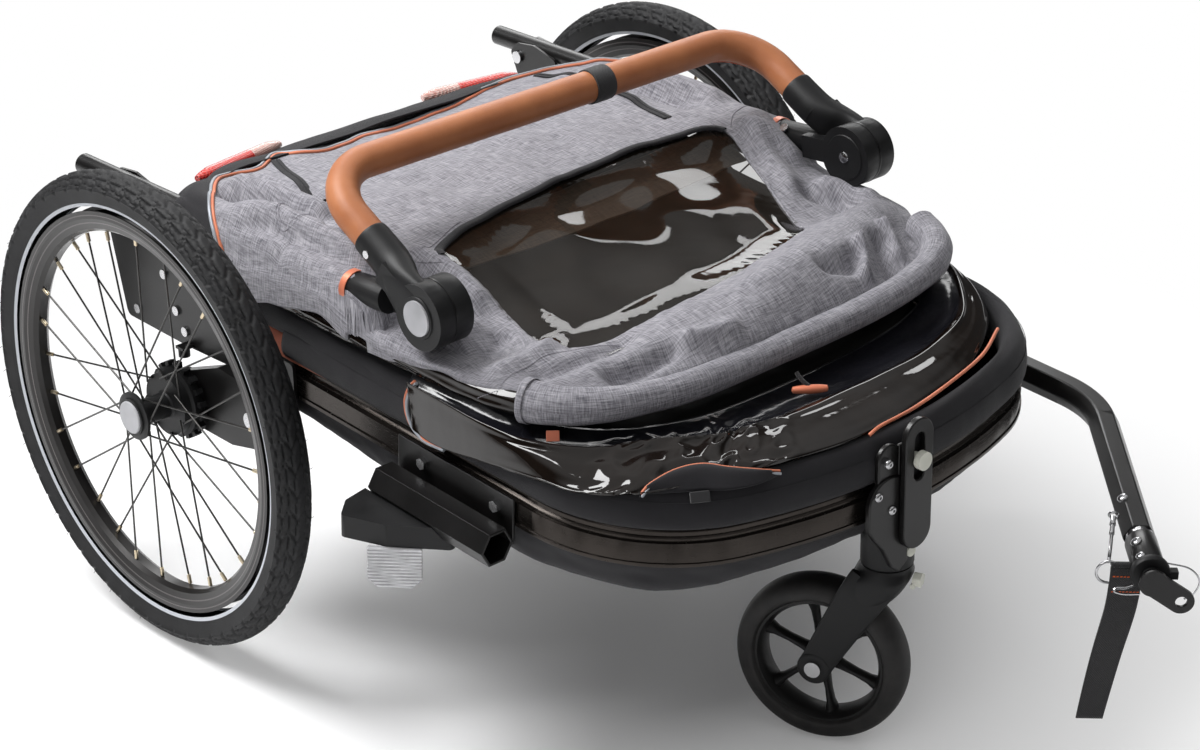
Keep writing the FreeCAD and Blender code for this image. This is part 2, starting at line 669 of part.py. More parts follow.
def reflector(side):
    half, low = d.reflector_width / 2, d.reflector_top - d.reflector_height
    corners = [(-half, d.reflector_top), (half, d.reflector_top), (half, low + d.reflector_cut),
               (half - d.reflector_cut, low), (d.reflector_cut - half, low), (-half,
               low + d.reflector_cut)]
    frame = pitched * shift(side * d.reflector_x, d.reflector_y, 0) * spin(zAxis, side * d.reflector_turn)
    return pad(frame, "XZ_Plane", corners, d.reflector_depth)


node("receivers", *[receiver(side) for side in both])
node("wing_covers", *[wing(side) for side in both])
node("side_reflectors", *[reflector(side) for side in both])

# drawbar and hitch
bend_x, bend_y = math.cos(math.radians(d.drawbar_turn)), math.sin(math.radians(d.drawbar_turn))
run = d.drawbar_start - d.drawbar_corner
drawbar_path = rounded([(0, 0), (run, 0, d.drawbar_bend), (run + d.drawbar_tip * bend_x,
        d.drawbar_tip * bend_y)],
                       False)
bar_frame = pitched * shift(d.receiver_x, d.drawbar_start, d.receiver_z) * spin(zAxis,
        -90) * spin(xAxis, 180)


def hex_profile(body, radius):
    corners = [(radius * math.cos(math.radians(60 * k)),
            radius * math.sin(math.radians(60 * k))) for k in range(6)]
    return sketch(body, "YZ_Plane", rounded(corners))


def hex_pipe(radius):
    return piped(bar_frame, drawbar_path, lambda body: hex_profile(body, radius))


node("drawbar_tube", cut(hex_pipe(d.drawbar_outer), hex_pipe(d.drawbar_outer - d.drawbar_wall)))
hitch = pitched * shift(d.receiver_x, d.drawbar_corner, d.receiver_z) * spin(zAxis, -90 - d.drawbar_turn)
washers = []
for step in range(3):
    disc = rod(hitch, (d.spring_start + d.spring_pitch * step, 0, 0), xAxis, d.spring_radius,
            d.spring_pitch * 0.9)
    washers.append(cut(disc, rod(hitch, (d.spring_start, 0, 0), xAxis, d.spring_bore,
            d.spring_pitch * 4)))
node("hitch_spring", *washers)
barrel = rod(hitch, (d.coupling_start, 0, 0), xAxis, d.coupling_radius, d.coupling_end - d.coupling_start)
socket = rod(hitch, (d.stud_start - d.slide_gap, 0, 0), xAxis, d.stud_radius + d.running_gap,
        d.coupling_end)
node("coupling", cut(barrel, socket))
hole_y = d.hitch_hole_reach * math.cos(math.radians(d.hitch_angle))
hole_z = d.hitch_hole_reach * math.sin(math.radians(d.hitch_angle))
swivel = hitch * shift(d.stud_end, 0, 0) * spin(xAxis, d.hitch_angle)
stud = rod(hitch, (d.stud_start, 0, 0), xAxis, d.stud_radius, d.stud_end - d.stud_start)
web = box(swivel, (0, 0, -d.hitch_plate_radius), (d.hitch_plate_thickness, d.hitch_hole_reach,
        d.hitch_plate_radius))
eye = rod(swivel, (0, d.hitch_hole_reach, 0), xAxis, d.hitch_plate_radius, d.hitch_plate_thickness)
boss = rod(swivel, (0, 0, 0), xAxis, d.hitch_plate_boss, d.hitch_plate_thickness)
hole = rod(swivel, (0, d.hitch_hole_reach, 0), xAxis, d.hitch_hole_radius, d.hitch_plate_thickness)
node("hitch_plate", cut(fuse(stud, web, eye, boss), hole))
collar = rod(hitch, (d.collar_start, 0, 0), xAxis, d.collar_radius, d.collar_end - d.collar_start)
node("hitch_collar", cut(collar, rod(hitch, (d.collar_start, 0, 0), xAxis, d.stud_radius, d.collar_end)))

ring_y, ring_z, eye_x, eye_y = d.ring_across, d.ring_height, d.hook_start, d.hook_across
loop = ring(hitch, (d.strap_mid, ring_y, ring_z), xAxis, d.ring_radius, d.ring_wire)
web = pad(hitch * shift(d.strap_mid - d.strap_thickness, 0, 0), "YZ_Plane", places["strap"],
          d.strap_thickness * 2)
node("safety_strap", cut(web, ring(hitch, (d.strap_mid, ring_y, ring_z), xAxis, d.ring_radius, d.ring_wire)))
hook_run = vec(d.strap_mid - d.ring_wire - eye_x, ring_y - eye_y, ring_z + d.ring_radius)
shank = rod(hitch, (eye_x, eye_y, 0), hook_run, d.hook_radius, d.ring_radius * (hook_run.Length / d.ring_radius))
eyelet = rod(hitch, (eye_x, -d.drawbar_outer, 0), -yAxis, d.hook_radius,
             d.hook_radius * 3)
node("snap_hook", fuse(shank, eyelet, ball(hitch, (eye_x, eye_y, 0), d.hook_radius * 1.3)), loop)


# front bracket, stem and caster
def slab(half, low, high):
    return box(trailer, (-half, d.bracket_front, low), (half, d.bracket_back, high))


blocks = [box(pitched, (inner(side, d.block_side, d.block_side * 1.7), d.block_front, d.block_low),
              (outer(side, d.block_side, d.block_side * 1.7), d.block_back,
              d.block_low + d.bolt_radius * 2.5))
          for side in both]
bracket = cut(fuse(slab(d.bracket_low_half, d.bracket_low, d.bracket_mid),
                   slab(d.bracket_high_half, d.bracket_mid, d.bracket_high), *blocks),
              rod(trailer, (0, d.stem_y, d.crown_low), zAxis, d.stem_housing_radius,
              d.stem_high - d.crown_low))
node("stem_bracket", bracket)
heads = [rod(trailer, (x, d.bracket_front, z), -yAxis, d.bolt_radius / 1.5, d.screw_height * 1.8)
         for x, z in places["stem_bolts"]]
node("bracket_screws", *heads)
tab_mid = d.tab_high - d.tab_half
tab = fuse(box(trailer, (-d.tab_half, d.tab_front, d.tab_low), (d.tab_half, d.tab_back, tab_mid)),
           rod(trailer, (0, d.tab_back, tab_mid), -yAxis, d.tab_half, d.tab_back - d.tab_front),
           box(trailer, (-d.tab_half, d.tab_back, d.tab_low), (d.tab_half,
           d.bracket_front + d.bolt_head / 2, d.bracket_low)))
slot = fuse(box(trailer, (-d.slot_half, d.tab_front, d.slot_low), (d.slot_half, d.tab_back, d.slot_high)),
            rod(trailer, (0, d.tab_back, d.slot_low), -yAxis, d.slot_half, d.tab_back - d.tab_front),
            rod(trailer, (0, d.tab_back, d.slot_high), -yAxis, d.slot_half, d.tab_back - d.tab_front))
housing = cut(fuse(rod(trailer, (0, d.stem_y, d.stem_low), zAxis, d.stem_housing_radius,
        d.stem_high - d.stem_low),
                   box(trailer, (-d.tab_half, d.tab_front, d.tab_low),
                       (d.tab_half, d.stem_y - d.stem_radius * 2, d.bracket_low)), cut(tab, slot)),
              rod(trailer, (0, d.stem_y, d.stem_low), zAxis, d.stem_radius + d.running_gap,
                  d.stem_bore_top - d.stem_low),
              rod(trailer, (0, d.button_floor, d.button_z), -yAxis, d.button_radius + d.running_gap,
                  d.tab_half))
node("stem_housing", housing)
knob = fuse(rod(trailer, (0, d.knob_back, d.knob_z), -yAxis, d.knob_rod, d.knob_back - d.knob_front),
            rod(trailer, (0, d.tab_front - d.slide_gap * 5, d.knob_z), -yAxis, d.knob_radius,
                d.tab_front - d.knob_front))
node("release_knob", knob)
node("stem_button", rod(trailer, (0, d.button_back, d.button_z), -yAxis, d.button_radius,
                        d.button_back - d.button_front))

fork = trailer * shift(0, d.stem_y, 0) * spin(zAxis, d.fork_yaw)
crown = box(fork, (-d.crown_half, -d.leg_inner, d.crown_low), (d.crown_half, d.leg_inner, d.crown_high))
legs = [pad(fork * shift(inner(side, d.leg_inner, d.leg_inner + d.leg_thickness), 0, 0), "YZ_Plane",
            places["crown_leg"], d.leg_thickness) for side in both]
stem = rod(fork, (0, 0, d.crown_low), zAxis, d.stem_radius,
        d.stem_bore_top - d.crown_low - d.slide_gap * 5)
axle_hole = rod(fork, (-d.crown_half * 2, d.trail, d.caster_radius), xAxis, d.caster_axle_radius,
        d.crown_half * 4)
node("caster_fork", cut(fuse(crown, stem, *legs), axle_hole))
bolt = [rod(fork, (-d.caster_head_end, d.trail, d.caster_radius), xAxis, d.caster_axle_radius,
            d.caster_head_end * 2)]
for side in both:
    bolt.append(rod(fork, (side * d.crown_half, d.trail, d.caster_radius), xAxis * side, d.caster_head,
                    d.caster_head_end - d.crown_half))
node("caster_axle", fuse(*bolt))
caster = fork * shift(0, d.trail, d.caster_radius)
node("caster_rim", turned(caster, places["caster_rim"]))
node("caster_tyre", turned(caster, places["caster_tyre"]))
lever_y, lever_z = -d.leg_inner - d.soft_gap - d.lever_radius, d.crown_low + d.lever_radius
lever = pad(fork * shift(0, lever_y, lever_z), "XZ_Plane", places["lock"], d.lever_reach)
hinge = rod(fork, (-d.lever_length / 2, lever_y, lever_z), xAxis, d.lever_radius, d.lever_length)
node("lock_lever", fuse(lever, hinge))


# roll frame and handle bases
def roll_tube(side):
    tube = rod(trailer, (side * d.roll_x, d.roll_back, d.roll_z), -yAxis, d.roll_radius,
            d.roll_back - d.roll_front)
    bore = rod(trailer, (side * d.roll_x, d.roll_back, d.roll_z), -yAxis, d.roll_bore,
               d.roll_back - d.hoop_y / 3)
    lug = box(trailer, (inner(side, d.lug_inner, d.lug_outer), d.lug_front, d.lug_low),
              (outer(side, d.lug_inner, d.lug_outer), d.lug_back, d.lug_high))
    hole = pin(side, d.hub_pin_inner, d.arm_outer, d.fold_y, d.fold_z, d.fold_radius + d.running_gap)
    return cut(fuse(cut(tube, bore), lug), hole)


hoop = rod(trailer, (-d.roll_x, d.hoop_y, d.roll_z), xAxis, d.hoop_radius, d.roll_x * 2)
node("roll_frame", fuse(roll_tube(right), roll_tube(left), hoop))


def handle_base(side):
    start, end = vec(side * d.base_x, d.base_y, d.roll_z), vec(side * d.base_x, d.hub_y, d.hub_z)
    run = end - start
    along = vec(run).normalize()
    arm = rod(trailer, start, along, d.base_radius,
            d.base_block * ((run.Length - d.base_block) / d.base_block))
    frame = trailer * shift(0, d.hub_y, d.hub_z) * spin(xAxis, math.degrees(math.atan2(d.roll_z - d.hub_z,
                                                                                        d.base_y - d.hub_y)))
    relief = box(frame, (inner(side, d.hub_split, d.arm_outer), 0, -d.cuff_radius * 2),
                 (outer(side, d.hub_split, d.arm_outer), d.knuckle, d.cuff_radius * 2))
    block = box(frame, (inner(side, d.hub_inner + d.bar_wall, d.hub_split), 0, -d.block_height / 2),
                (outer(side, d.hub_inner + d.bar_wall, d.hub_split), d.knuckle, d.block_height / 2))
    disc = pin(side, d.hub_inner, d.hub_split, d.hub_y, d.hub_z, d.hub_radius)
    post = pin(side, d.hub_split - d.hub_gap, d.hub_pin_outer, d.hub_y, d.hub_z, d.hub_pin)
    tube = rod(trailer, (side * d.roll_x, d.roll_back, d.roll_z), -yAxis, d.roll_radius,
            d.roll_back - d.roll_front)
    return cut(fuse(cut(arm, relief), block, disc, post), tube)


node("handle_bases", *[handle_base(side) for side in both])
node("arm_cuffs", *[cut(rod(trailer, (side * d.base_x, d.base_y + d.cuff_length / 8, d.roll_z), -yAxis,
                            d.cuff_radius, d.cuff_length),
                        rod(trailer, (side * d.base_x, d.base_y + d.cuff_length, d.roll_z), -yAxis,
                            d.base_radius + d.soft_gap * 2.5, d.cuff_length * 2)) for side in both])

# handle
handle = trailer * shift(0, d.hub_y, d.hub_z) * spin(xAxis, d.handle_pitch)


def handle_arm(side):
    split = d.hub_split + d.hub_gap
    low, high = inner(side, split, d.hub_outer), outer(side, split, d.hub_outer)
    sleeve = rod(handle, (side * d.handle_x, d.base_block, 0), yAxis, d.sleeve_radius,
            d.sleeve_end - d.base_block)
    relief = box(handle, (inner(side, d.hub_pin_inner, split), 0, -d.sleeve_radius * 2),
                 (outer(side, d.hub_pin_inner, split), d.knuckle, d.sleeve_radius * 2))
    block = box(handle, (low, 0, -d.block_height / 2), (high, d.knuckle, d.block_height / 2))
    disc = rod(handle, (low, 0, 0), xAxis, d.hub_radius, high - low)
    bore = rod(handle, (side * d.hub_inner, 0, 0), xAxis * side, d.hub_pin + d.running_gap,
               d.hub_pin_outer + d.slide_gap - d.hub_inner)
    recess = rod(handle, (side * d.press_floor, 0, 0), xAxis * side, d.press_radius + d.running_gap,
                 d.hub_outer - d.press_floor)
    return cut(fuse(cut(sleeve, relief), block, disc), bore, recess)


node("handle_arms", *[handle_arm(side) for side in both])
bar_frame = handle * shift(-d.handle_x, d.sleeve_end, 0)
bar_top = d.bar_reach - d.sleeve_end
bar_corners = [(0, 0), (0, bar_top, d.bar_corner), (d.handle_x * 2, bar_top, d.bar_corner),
        (d.handle_x * 2, 0)]
bar_path = rounded(bar_corners, False)
node("push_bar", piped(bar_frame, bar_path, lambda body: circle(body, "XZ_Plane", [d.bar_radius,
                                                                                   d.bar_radius - d.bar_wall])))
node("push_bar_grip", piped(bar_frame, bar_path, lambda body: circle(body, "XZ_Plane", [d.grip_radius,
                                                                                        d.bar_radius])))
band = [rod(handle, (d.strap_ring_x - d.strap_ring_width / 2, d.bar_reach, 0), xAxis, radius,
        d.strap_ring_width)
        for radius in (d.strap_ring_radius, d.grip_radius)]
node("wrist_band", cut(band[0], band[1]))
for side, word in ((right, "right"), (left, "left")):
    node("handle_button_" + word, rod(handle, (side * d.press_start, 0, 0), xAxis * side, d.press_radius,
                                      d.press_end - d.press_start))
node("handle_screws", *[rod(handle, (side * (d.handle_x + d.sleeve_radius), d.screw_reach, 0),
        xAxis * side,
                            d.screw_radius, d.screw_height) for side in both])


# soft goods
def roll(name):
    rows = places[name]
    wires = []
    for index, (x, y, z, wide, high) in enumerate(rows):
        before, after = rows[max(index - 1, 0)], rows[min(index + 1, len(rows) - 1)]
        along = vec(after[0] - before[0], after[1] - before[1], 0).normalize()
        across = vec(along.y, -along.x, 0)
        points = []
        for step in range(12):
            angle = math.radians(30 * step)
            swell = 1 + 0.05 * math.cos(3 * angle + index)
            points.append(vec(x, y, z) + across * (wide * swell * math.cos(angle)) +
                          zAxis * (high * swell * math.sin(angle)))
        wires.append(closed_spline(points))
    item = made(Part.makeLoft(wires, True, False))
    item.Placement = trailer
    return item


def cover_wire(y, upper, lower):
    top, under = open_spline([vec(x, y, z) for x, z in upper]), open_spline([vec(x, y, z) for x,
    z in lower])
    first = Part.makeLine(vec(upper[0][0], y, upper[0][1]), vec(lower[0][0], y, lower[0][1]))
    last = Part.makeLine(vec(upper[-1][0], y, upper[-1][1]), vec(lower[-1][0], y, lower[-1][1]))
    return Part.Wire([top, last, under, first])


def arch(centre, shoulder, edge, wide, reach, drop):
    half = [(0, centre - drop), (wide * 0.45, centre - drop - (centre - shoulder) * 0.15),
            (wide * 0.72, centre - drop - (centre - shoulder) * 0.6), (wide, shoulder - drop),
            (reach - drop, shoulder - drop - (shoulder - edge) * 0.35), (reach - drop, edge)]
    return [(-x, z) for x, z in reversed(half[1:])] + half


wires = [cover_wire(float(y), arch(c, s, e, w, r, 0), arch(c, s, e, w, r, d.canopy_wall))
         for y, c, s, e, w, r in places["canopy"]]
shell = made(Part.makeLoft(wires, True, True))
shell.Placement = trailer
apron = []
for index, (x, y) in enumerate(places["apron"]):
    hem_x, hem_y, hem_z, wide, high = places["hem"][index]
    near = vec(x, y, d.apron_z)
    far = vec(hem_x, hem_y, hem_z + high)
    inward = vec(near.x - far.x, near.y - far.y, 0).normalize()
    stops = ((0, 0, 0), (0.3, 0, d.apron_lift_near), (0.62, 0, d.apron_lift_far),
             (1, d.apron_back, d.apron_end_lift))
    top = []
    for share, back, lift in stops:
        top.append(near + (far - near) * share + inward * back + zAxis * lift)
    under = [point - zAxis * d.canopy_wall for point in top]
    apron.append(Part.Wire([open_spline(top), Part.makeLine(top[-1], under[-1]), open_spline(under),
                            Part.makeLine(top[0], under[0])]))
front = made(Part.makeLoft(apron, True, False))
front.Placement = trailer
relief = []
for side in both:
    relief.append(rod(trailer, (side * d.roll_x, d.roll_back, d.roll_z), -yAxis,
            d.roll_radius + d.soft_gap,
                      d.roll_back - d.roll_front))
    relief.append(rod(trailer, (side * d.base_x, d.base_y + d.cuff_length, d.roll_z), -yAxis,
                      d.cuff_radius + d.soft_gap * 2, d.knuckle / 2))
node("canopy", cut(shell, *relief), front)
node("canopy_hem", roll("hem"))
panes = []
for y, c, s, e, w, r in places["canopy"][5:]:
    rise = d.window_lift
    upper = [(x, z + rise + d.window_wall) for x, z in arch(c, s, e, w, r, 0)[3:8]]
    lower = [(x, z + rise) for x, z in arch(c, s, e, w, r, 0)[3:8]]
    panes.append(cover_wire(float(y), upper, lower))
pane = made(Part.makeLoft(panes, True, True))
pane.Placement = trailer
node("canopy_window", pane)
node("rain_film", roll("film"))

cabin_wires = []
for y, low, high, half in places["cabin"]:
    mid = (low + high) / 2
    lower, upper = low + d.cabin_low_edge, high - d.cabin_high_edge
    points = [vec(-half * 0.9, y, low), vec(0, y, low), vec(half * 0.9, y, low), vec(half, y, lower),
              vec(half, y, mid), vec(half * 0.97, y, upper), vec(half * 0.8, y, high), vec(0, y, high),
              vec(-half * 0.8, y, high), vec(-half * 0.97, y, upper), vec(-half, y, mid), vec(-half, y,
              lower)]
    cabin_wires.append(Part.makePolygon(points + points[:1]))
cabin = made(Part.makeLoft(cabin_wires, True, True))
cabin.Placement = trailer
node("folded_cabin", cabin)
node("cabin_sides", *[box(pitched, (inner(side, d.skirt_inner, d.skirt_outer), d.skirt_front,
        d.skirt_low),
                          (outer(side, d.skirt_inner, d.skirt_outer), d.skirt_back,
                          d.skirt_high)) for side in both])
node("rear_panel", fuse(box(trailer, (-d.panel_half, d.panel_front, d.panel_low),
                            (d.panel_half, d.panel_back, d.panel_high)),
                        box(trailer, (-d.ridge_half, d.panel_front, d.ridge_low),
                            (d.ridge_half, d.ridge_back, d.ridge_high))))
lamps = []
for side in both:
    first = vec(side * d.lamp_inner_x, d.lamp_inner_y, d.lamp_z)
    second = vec(side * d.lamp_outer_x, d.lamp_outer_y, d.lamp_z)
    run = second - first
    lamps.append(fuse(rod(trailer, first, run, d.lamp_radius,
            d.lamp_radius * (run.Length / d.lamp_radius)),
                      ball(trailer, first, d.lamp_radius), ball(trailer, second, d.lamp_radius)))
node("tail_lights", *lamps)

doc.recompute()
wrong = [item.Label for item in doc.Objects if "Invalid" in item.State or "Error" in item.State]
for name, item in nodes.items():
    if item.Shape.isNull() or not item.Shape.isValid() or not item.Shape.Solids:
        wrong.append(name)
if wrong:
    raise SystemExit("not built: " + ", ".join(wrong))
os.makedirs("parts", exist_ok=True)
for name, item in nodes.items():
    item.Shape.exportStep("parts/" + name + ".step")
print(len(nodes), "parts written")
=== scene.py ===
from math import atan2, cos, pi, radians, sin

import bmesh
import bpy
import numpy as np
from mathutils import Matrix, Vector, noise


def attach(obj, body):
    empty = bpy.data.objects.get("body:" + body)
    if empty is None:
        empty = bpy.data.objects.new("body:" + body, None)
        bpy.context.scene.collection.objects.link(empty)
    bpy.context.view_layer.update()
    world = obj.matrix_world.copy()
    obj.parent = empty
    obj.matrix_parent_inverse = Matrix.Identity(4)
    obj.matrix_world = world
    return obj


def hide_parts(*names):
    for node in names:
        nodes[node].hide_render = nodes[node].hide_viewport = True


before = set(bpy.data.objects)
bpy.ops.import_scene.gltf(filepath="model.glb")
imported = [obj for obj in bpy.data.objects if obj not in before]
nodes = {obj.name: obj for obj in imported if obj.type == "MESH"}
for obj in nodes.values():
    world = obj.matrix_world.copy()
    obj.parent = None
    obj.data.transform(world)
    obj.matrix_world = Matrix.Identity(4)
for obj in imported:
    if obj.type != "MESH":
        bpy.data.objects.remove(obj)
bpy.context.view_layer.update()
scene = bpy.context.scene
print("frame read,", len(nodes), "nodes")

# camera and the trailer's own frames, measured in millimetres
cameraView = {"place": (-1.894907, -2.00751, 1.588785), "turn": -0.739999, "tilt": 0.441586,
              "roll": -0.017987,
              "lens": 91.99}
axlePoint = (0, 0.3418, 0.25)  # middle of the line through both axles, in metres
trailer = Matrix.Translation((0, axlePoint[1], 0)) @ Matrix.Scale(0.001, 4)
pitched = (trailer @ Matrix.Translation((0, 0, 250)) @ Matrix.Rotation(radians(3.4), 4, "X")
           @ Matrix.Translation((0, 0, -250)))
handlePlace = trailer @ Matrix.Translation((0, -362, 448)) @ Matrix.Rotation(radians(28.3), 4, "X")
forkPlace = trailer @ Matrix.Translation((0, -668, 0)) @ Matrix.Rotation(radians(24), 4, "Z")
hitchPlace = pitched @ Matrix.Translation((317, -659, 290)) @ Matrix.Rotation(radians(-132.6), 4, "Z")
sides = {"right": -1, "left": 1}


def aimCamera():
    turn, tilt, roll = cameraView["turn"], cameraView["tilt"], cameraView["roll"]
    back = Vector((sin(turn) * cos(tilt), -cos(turn) * cos(tilt), sin(tilt)))
    right = Vector((cos(turn), sin(turn), 0))
    up = back.cross(right)
    leanRight = right * cos(roll) + up * sin(roll)
    leanUp = up * cos(roll) - right * sin(roll)
    data = bpy.data.cameras.new("camera")
    data.lens = cameraView["lens"]
    data.sensor_width = 36
    data.clip_end = 60
    camera = bpy.data.objects.new("camera", data)
    scene.collection.objects.link(camera)
    place = Matrix((leanRight, leanUp, back)).transposed().to_4x4()
    place.translation = Vector(cameraView["place"])
    camera.matrix_world = place
    scene.camera = camera


aimCamera()


# shader writing
class Value:
    def __init__(self, finish, socket):
        self.finish = finish
        self.socket = socket

    def joined(self, operation, other, swapped=False):
        pair = [other, self] if swapped else [self, other]
        return self.finish.node("ShaderNodeMath", {"operation": operation}, pair)

    def __add__(self, other):
        return self.joined("ADD", other)

    def __radd__(self, other):
        return self.joined("ADD", other, True)

    def __sub__(self, other):
        return self.joined("SUBTRACT", other)

    def __rsub__(self, other):
        return self.joined("SUBTRACT", other, True)

    def __mul__(self, other):
        return self.joined("MULTIPLY", other)

    def __rmul__(self, other):
        return self.joined("MULTIPLY", other, True)

    def __gt__(self, other):
        return self.joined("GREATER_THAN", other)

    def __lt__(self, other):
        return self.joined("LESS_THAN", other)

    def sine(self):
        return self.finish.node("ShaderNodeMath", {"operation": "SINE"}, [self])

    def size(self):
        return self.finish.node("ShaderNodeMath", {"operation": "ABSOLUTE"}, [self])

    def between(self, low, high):
        return self.finish.node("ShaderNodeMapRange", {"clamp": True}, [self, low, high, 0.0, 1.0])


class Finish:
    def __init__(self, name, **settings):
        self.material = bpy.data.materials.new(name)
        self.material.use_nodes = True
        self.tree = self.material.node_tree
        self.shader = self.tree.nodes["Principled BSDF"]
        for word, value in settings.items():
            self.put(word, value)

    def link(self, socket, value):
        if isinstance(value, Value):
            self.tree.links.new(value.socket, socket)
        elif socket.type == "RGBA" and len(value) == 3:
            socket.default_value = (*value, 1)
        else:
            socket.default_value = value

    def put(self, word, value):
        words = {"colour": "Base Color", "roughness": "Roughness", "metal": "Metallic", "coat": "Coat Weight",
                 "coatRoughness": "Coat Roughness", "alpha": "Alpha", "normal": "Normal",
                 "sheen": "Sheen Weight",
                 "sheenRoughness": "Sheen Roughness", "ior": "IOR", "specular": "Specular IOR Level"}
        self.link(self.shader.inputs[words[word]], value)

    def node(self, kind, settings=None, sockets=(), output=0):
        made = self.tree.nodes.new(kind)
        for word, value in (settings or {}).items():
            setattr(made, word, value)
        named = sockets.items() if isinstance(sockets, dict) else enumerate(sockets)
        for word, value in named:
            self.link(made.inputs[word], value)
        return Value(self, made.outputs[output])

    def place(self, kind="Object"):
        return self.node("ShaderNodeTexCoord", output=kind)

    def scaled(self, place, factors):
        return self.node("ShaderNodeVectorMath", {"operation": "MULTIPLY"}, [place, factors])

    def along(self, place, axis):
        return self.node("ShaderNodeSeparateXYZ", {}, [place], axis)

    def noise(self, place, scale, detail=3.0, rough=0.55):
        return self.node("ShaderNodeTexNoise", {}, {"Vector": place, "Scale": scale, "Detail": detail,
                                                    "Roughness": rough}, "Fac")

    def blend(self, share, first, second):
        return self.node("ShaderNodeMix", {"data_type": "RGBA"}, {0: share, 6: first, 7: second}, 2)

    def bump(self, height, depth):
        self.put("normal",
                 self.node("ShaderNodeBump", {}, {"Height": height, "Distance": depth, "Strength": 1.0}))

    def fromAxle(self, place):
        # distance from the line through both axles
        centred = self.node("ShaderNodeVectorMath", {"operation": "SUBTRACT"}, [place, axlePoint])
        return self.node("ShaderNodeVectorMath", {"operation": "LENGTH"}, [self.scaled(centred, (0, 1, 1))],
                         "Value")


def lighter(colour, factor):
    return tuple(min(1, channel * factor) for channel in colour)


def moulded(name, colour, roughness, grain=0.00008, scale=1400, metal=0.0, coat=0.0):
    finish = Finish(name, metal=metal, coat=coat, coatRoughness=0.25, specular=0.32)
    place = finish.place()
    cloud = finish.noise(place, 26, 2)
    fine = finish.noise(place, scale, 2)
    finish.put("colour", finish.blend(cloud.between(0.3, 0.7), lighter(colour, 0.82), lighter(colour, 1.18)))
    finish.put("roughness", roughness + (cloud - 0.5) * 0.16 + (fine - 0.5) * 0.1)
    finish.bump(fine, grain)
    return finish


def brushed(name, colour, roughness, metal=1.0, stretch=(90, 900, 900)):
    finish = Finish(name, metal=metal)
    place = finish.place()
    streak = finish.noise(finish.scaled(place, stretch), 1, 3)
    cloud = finish.noise(place, 14, 3)
    scuff = finish.noise(place, 160, 4).between(0.64, 0.74)
    finish.put("colour", finish.blend(cloud.between(0.3, 0.7), lighter(colour, 0.85), lighter(colour, 1.2)))
    finish.put("roughness", roughness + (streak - 0.5) * 0.1 + scuff * 0.08)
    finish.bump(streak, 0.00003)
    return finish


def woven(name, dark, light, pitch, slub=0.0, depth=0.00025, roughness=0.85, sheen=0.25):
    finish = Finish(name, sheen=sheen, sheenRoughness=0.5, specular=0.3)
    place = finish.place("UV")
    across, length = finish.along(place, 0), finish.along(place, 1)
    turns = 2 * pi / pitch
    warp = (across * turns).sine()
    weft = (length * turns).sine()
    thread = warp * weft * 0.5 + 0.5
    slow = finish.noise(place, 11, 3)
    lines = finish.noise(finish.scaled(place, (1 / pitch * 0.9, 45, 45)), 1, 3, 0.7)
    rows = finish.noise(finish.scaled(place, (60, 1 / pitch * 0.8, 60)), 1, 3, 0.7)
    mottle = lines.between(0.36, 0.66) * 0.5 + rows.between(0.36, 0.66) * 0.5
    shade = (mottle - 0.5) * slub + 0.5 + (thread - 0.5) * 0.22 + (slow - 0.5) * 0.25
    finish.put("colour", finish.blend(shade.between(0, 1), dark, light))
    finish.put("roughness", roughness - thread * 0.08)
    finish.bump(thread * 0.7 + mottle * slub * 0.6, depth)
    return finish


def glossy(name, colour, roughness=0.05, ripple=0.0006, scale=60, alpha=1.0, tint=1.5, coat=0.0):
    finish = Finish(name, alpha=alpha, ior=1.5, coat=coat, coatRoughness=0.03)
    place = finish.place()
    wave = finish.noise(place, scale, 2, 0.4)
    haze = finish.noise(place, 22, 3)
    finish.put("colour", finish.blend(haze.between(0.35, 0.7), colour, lighter(colour, tint)))
    finish.put("roughness", roughness + haze.between(0.45, 0.8) * 0.06)
    finish.bump(wave, ripple)
    return finish


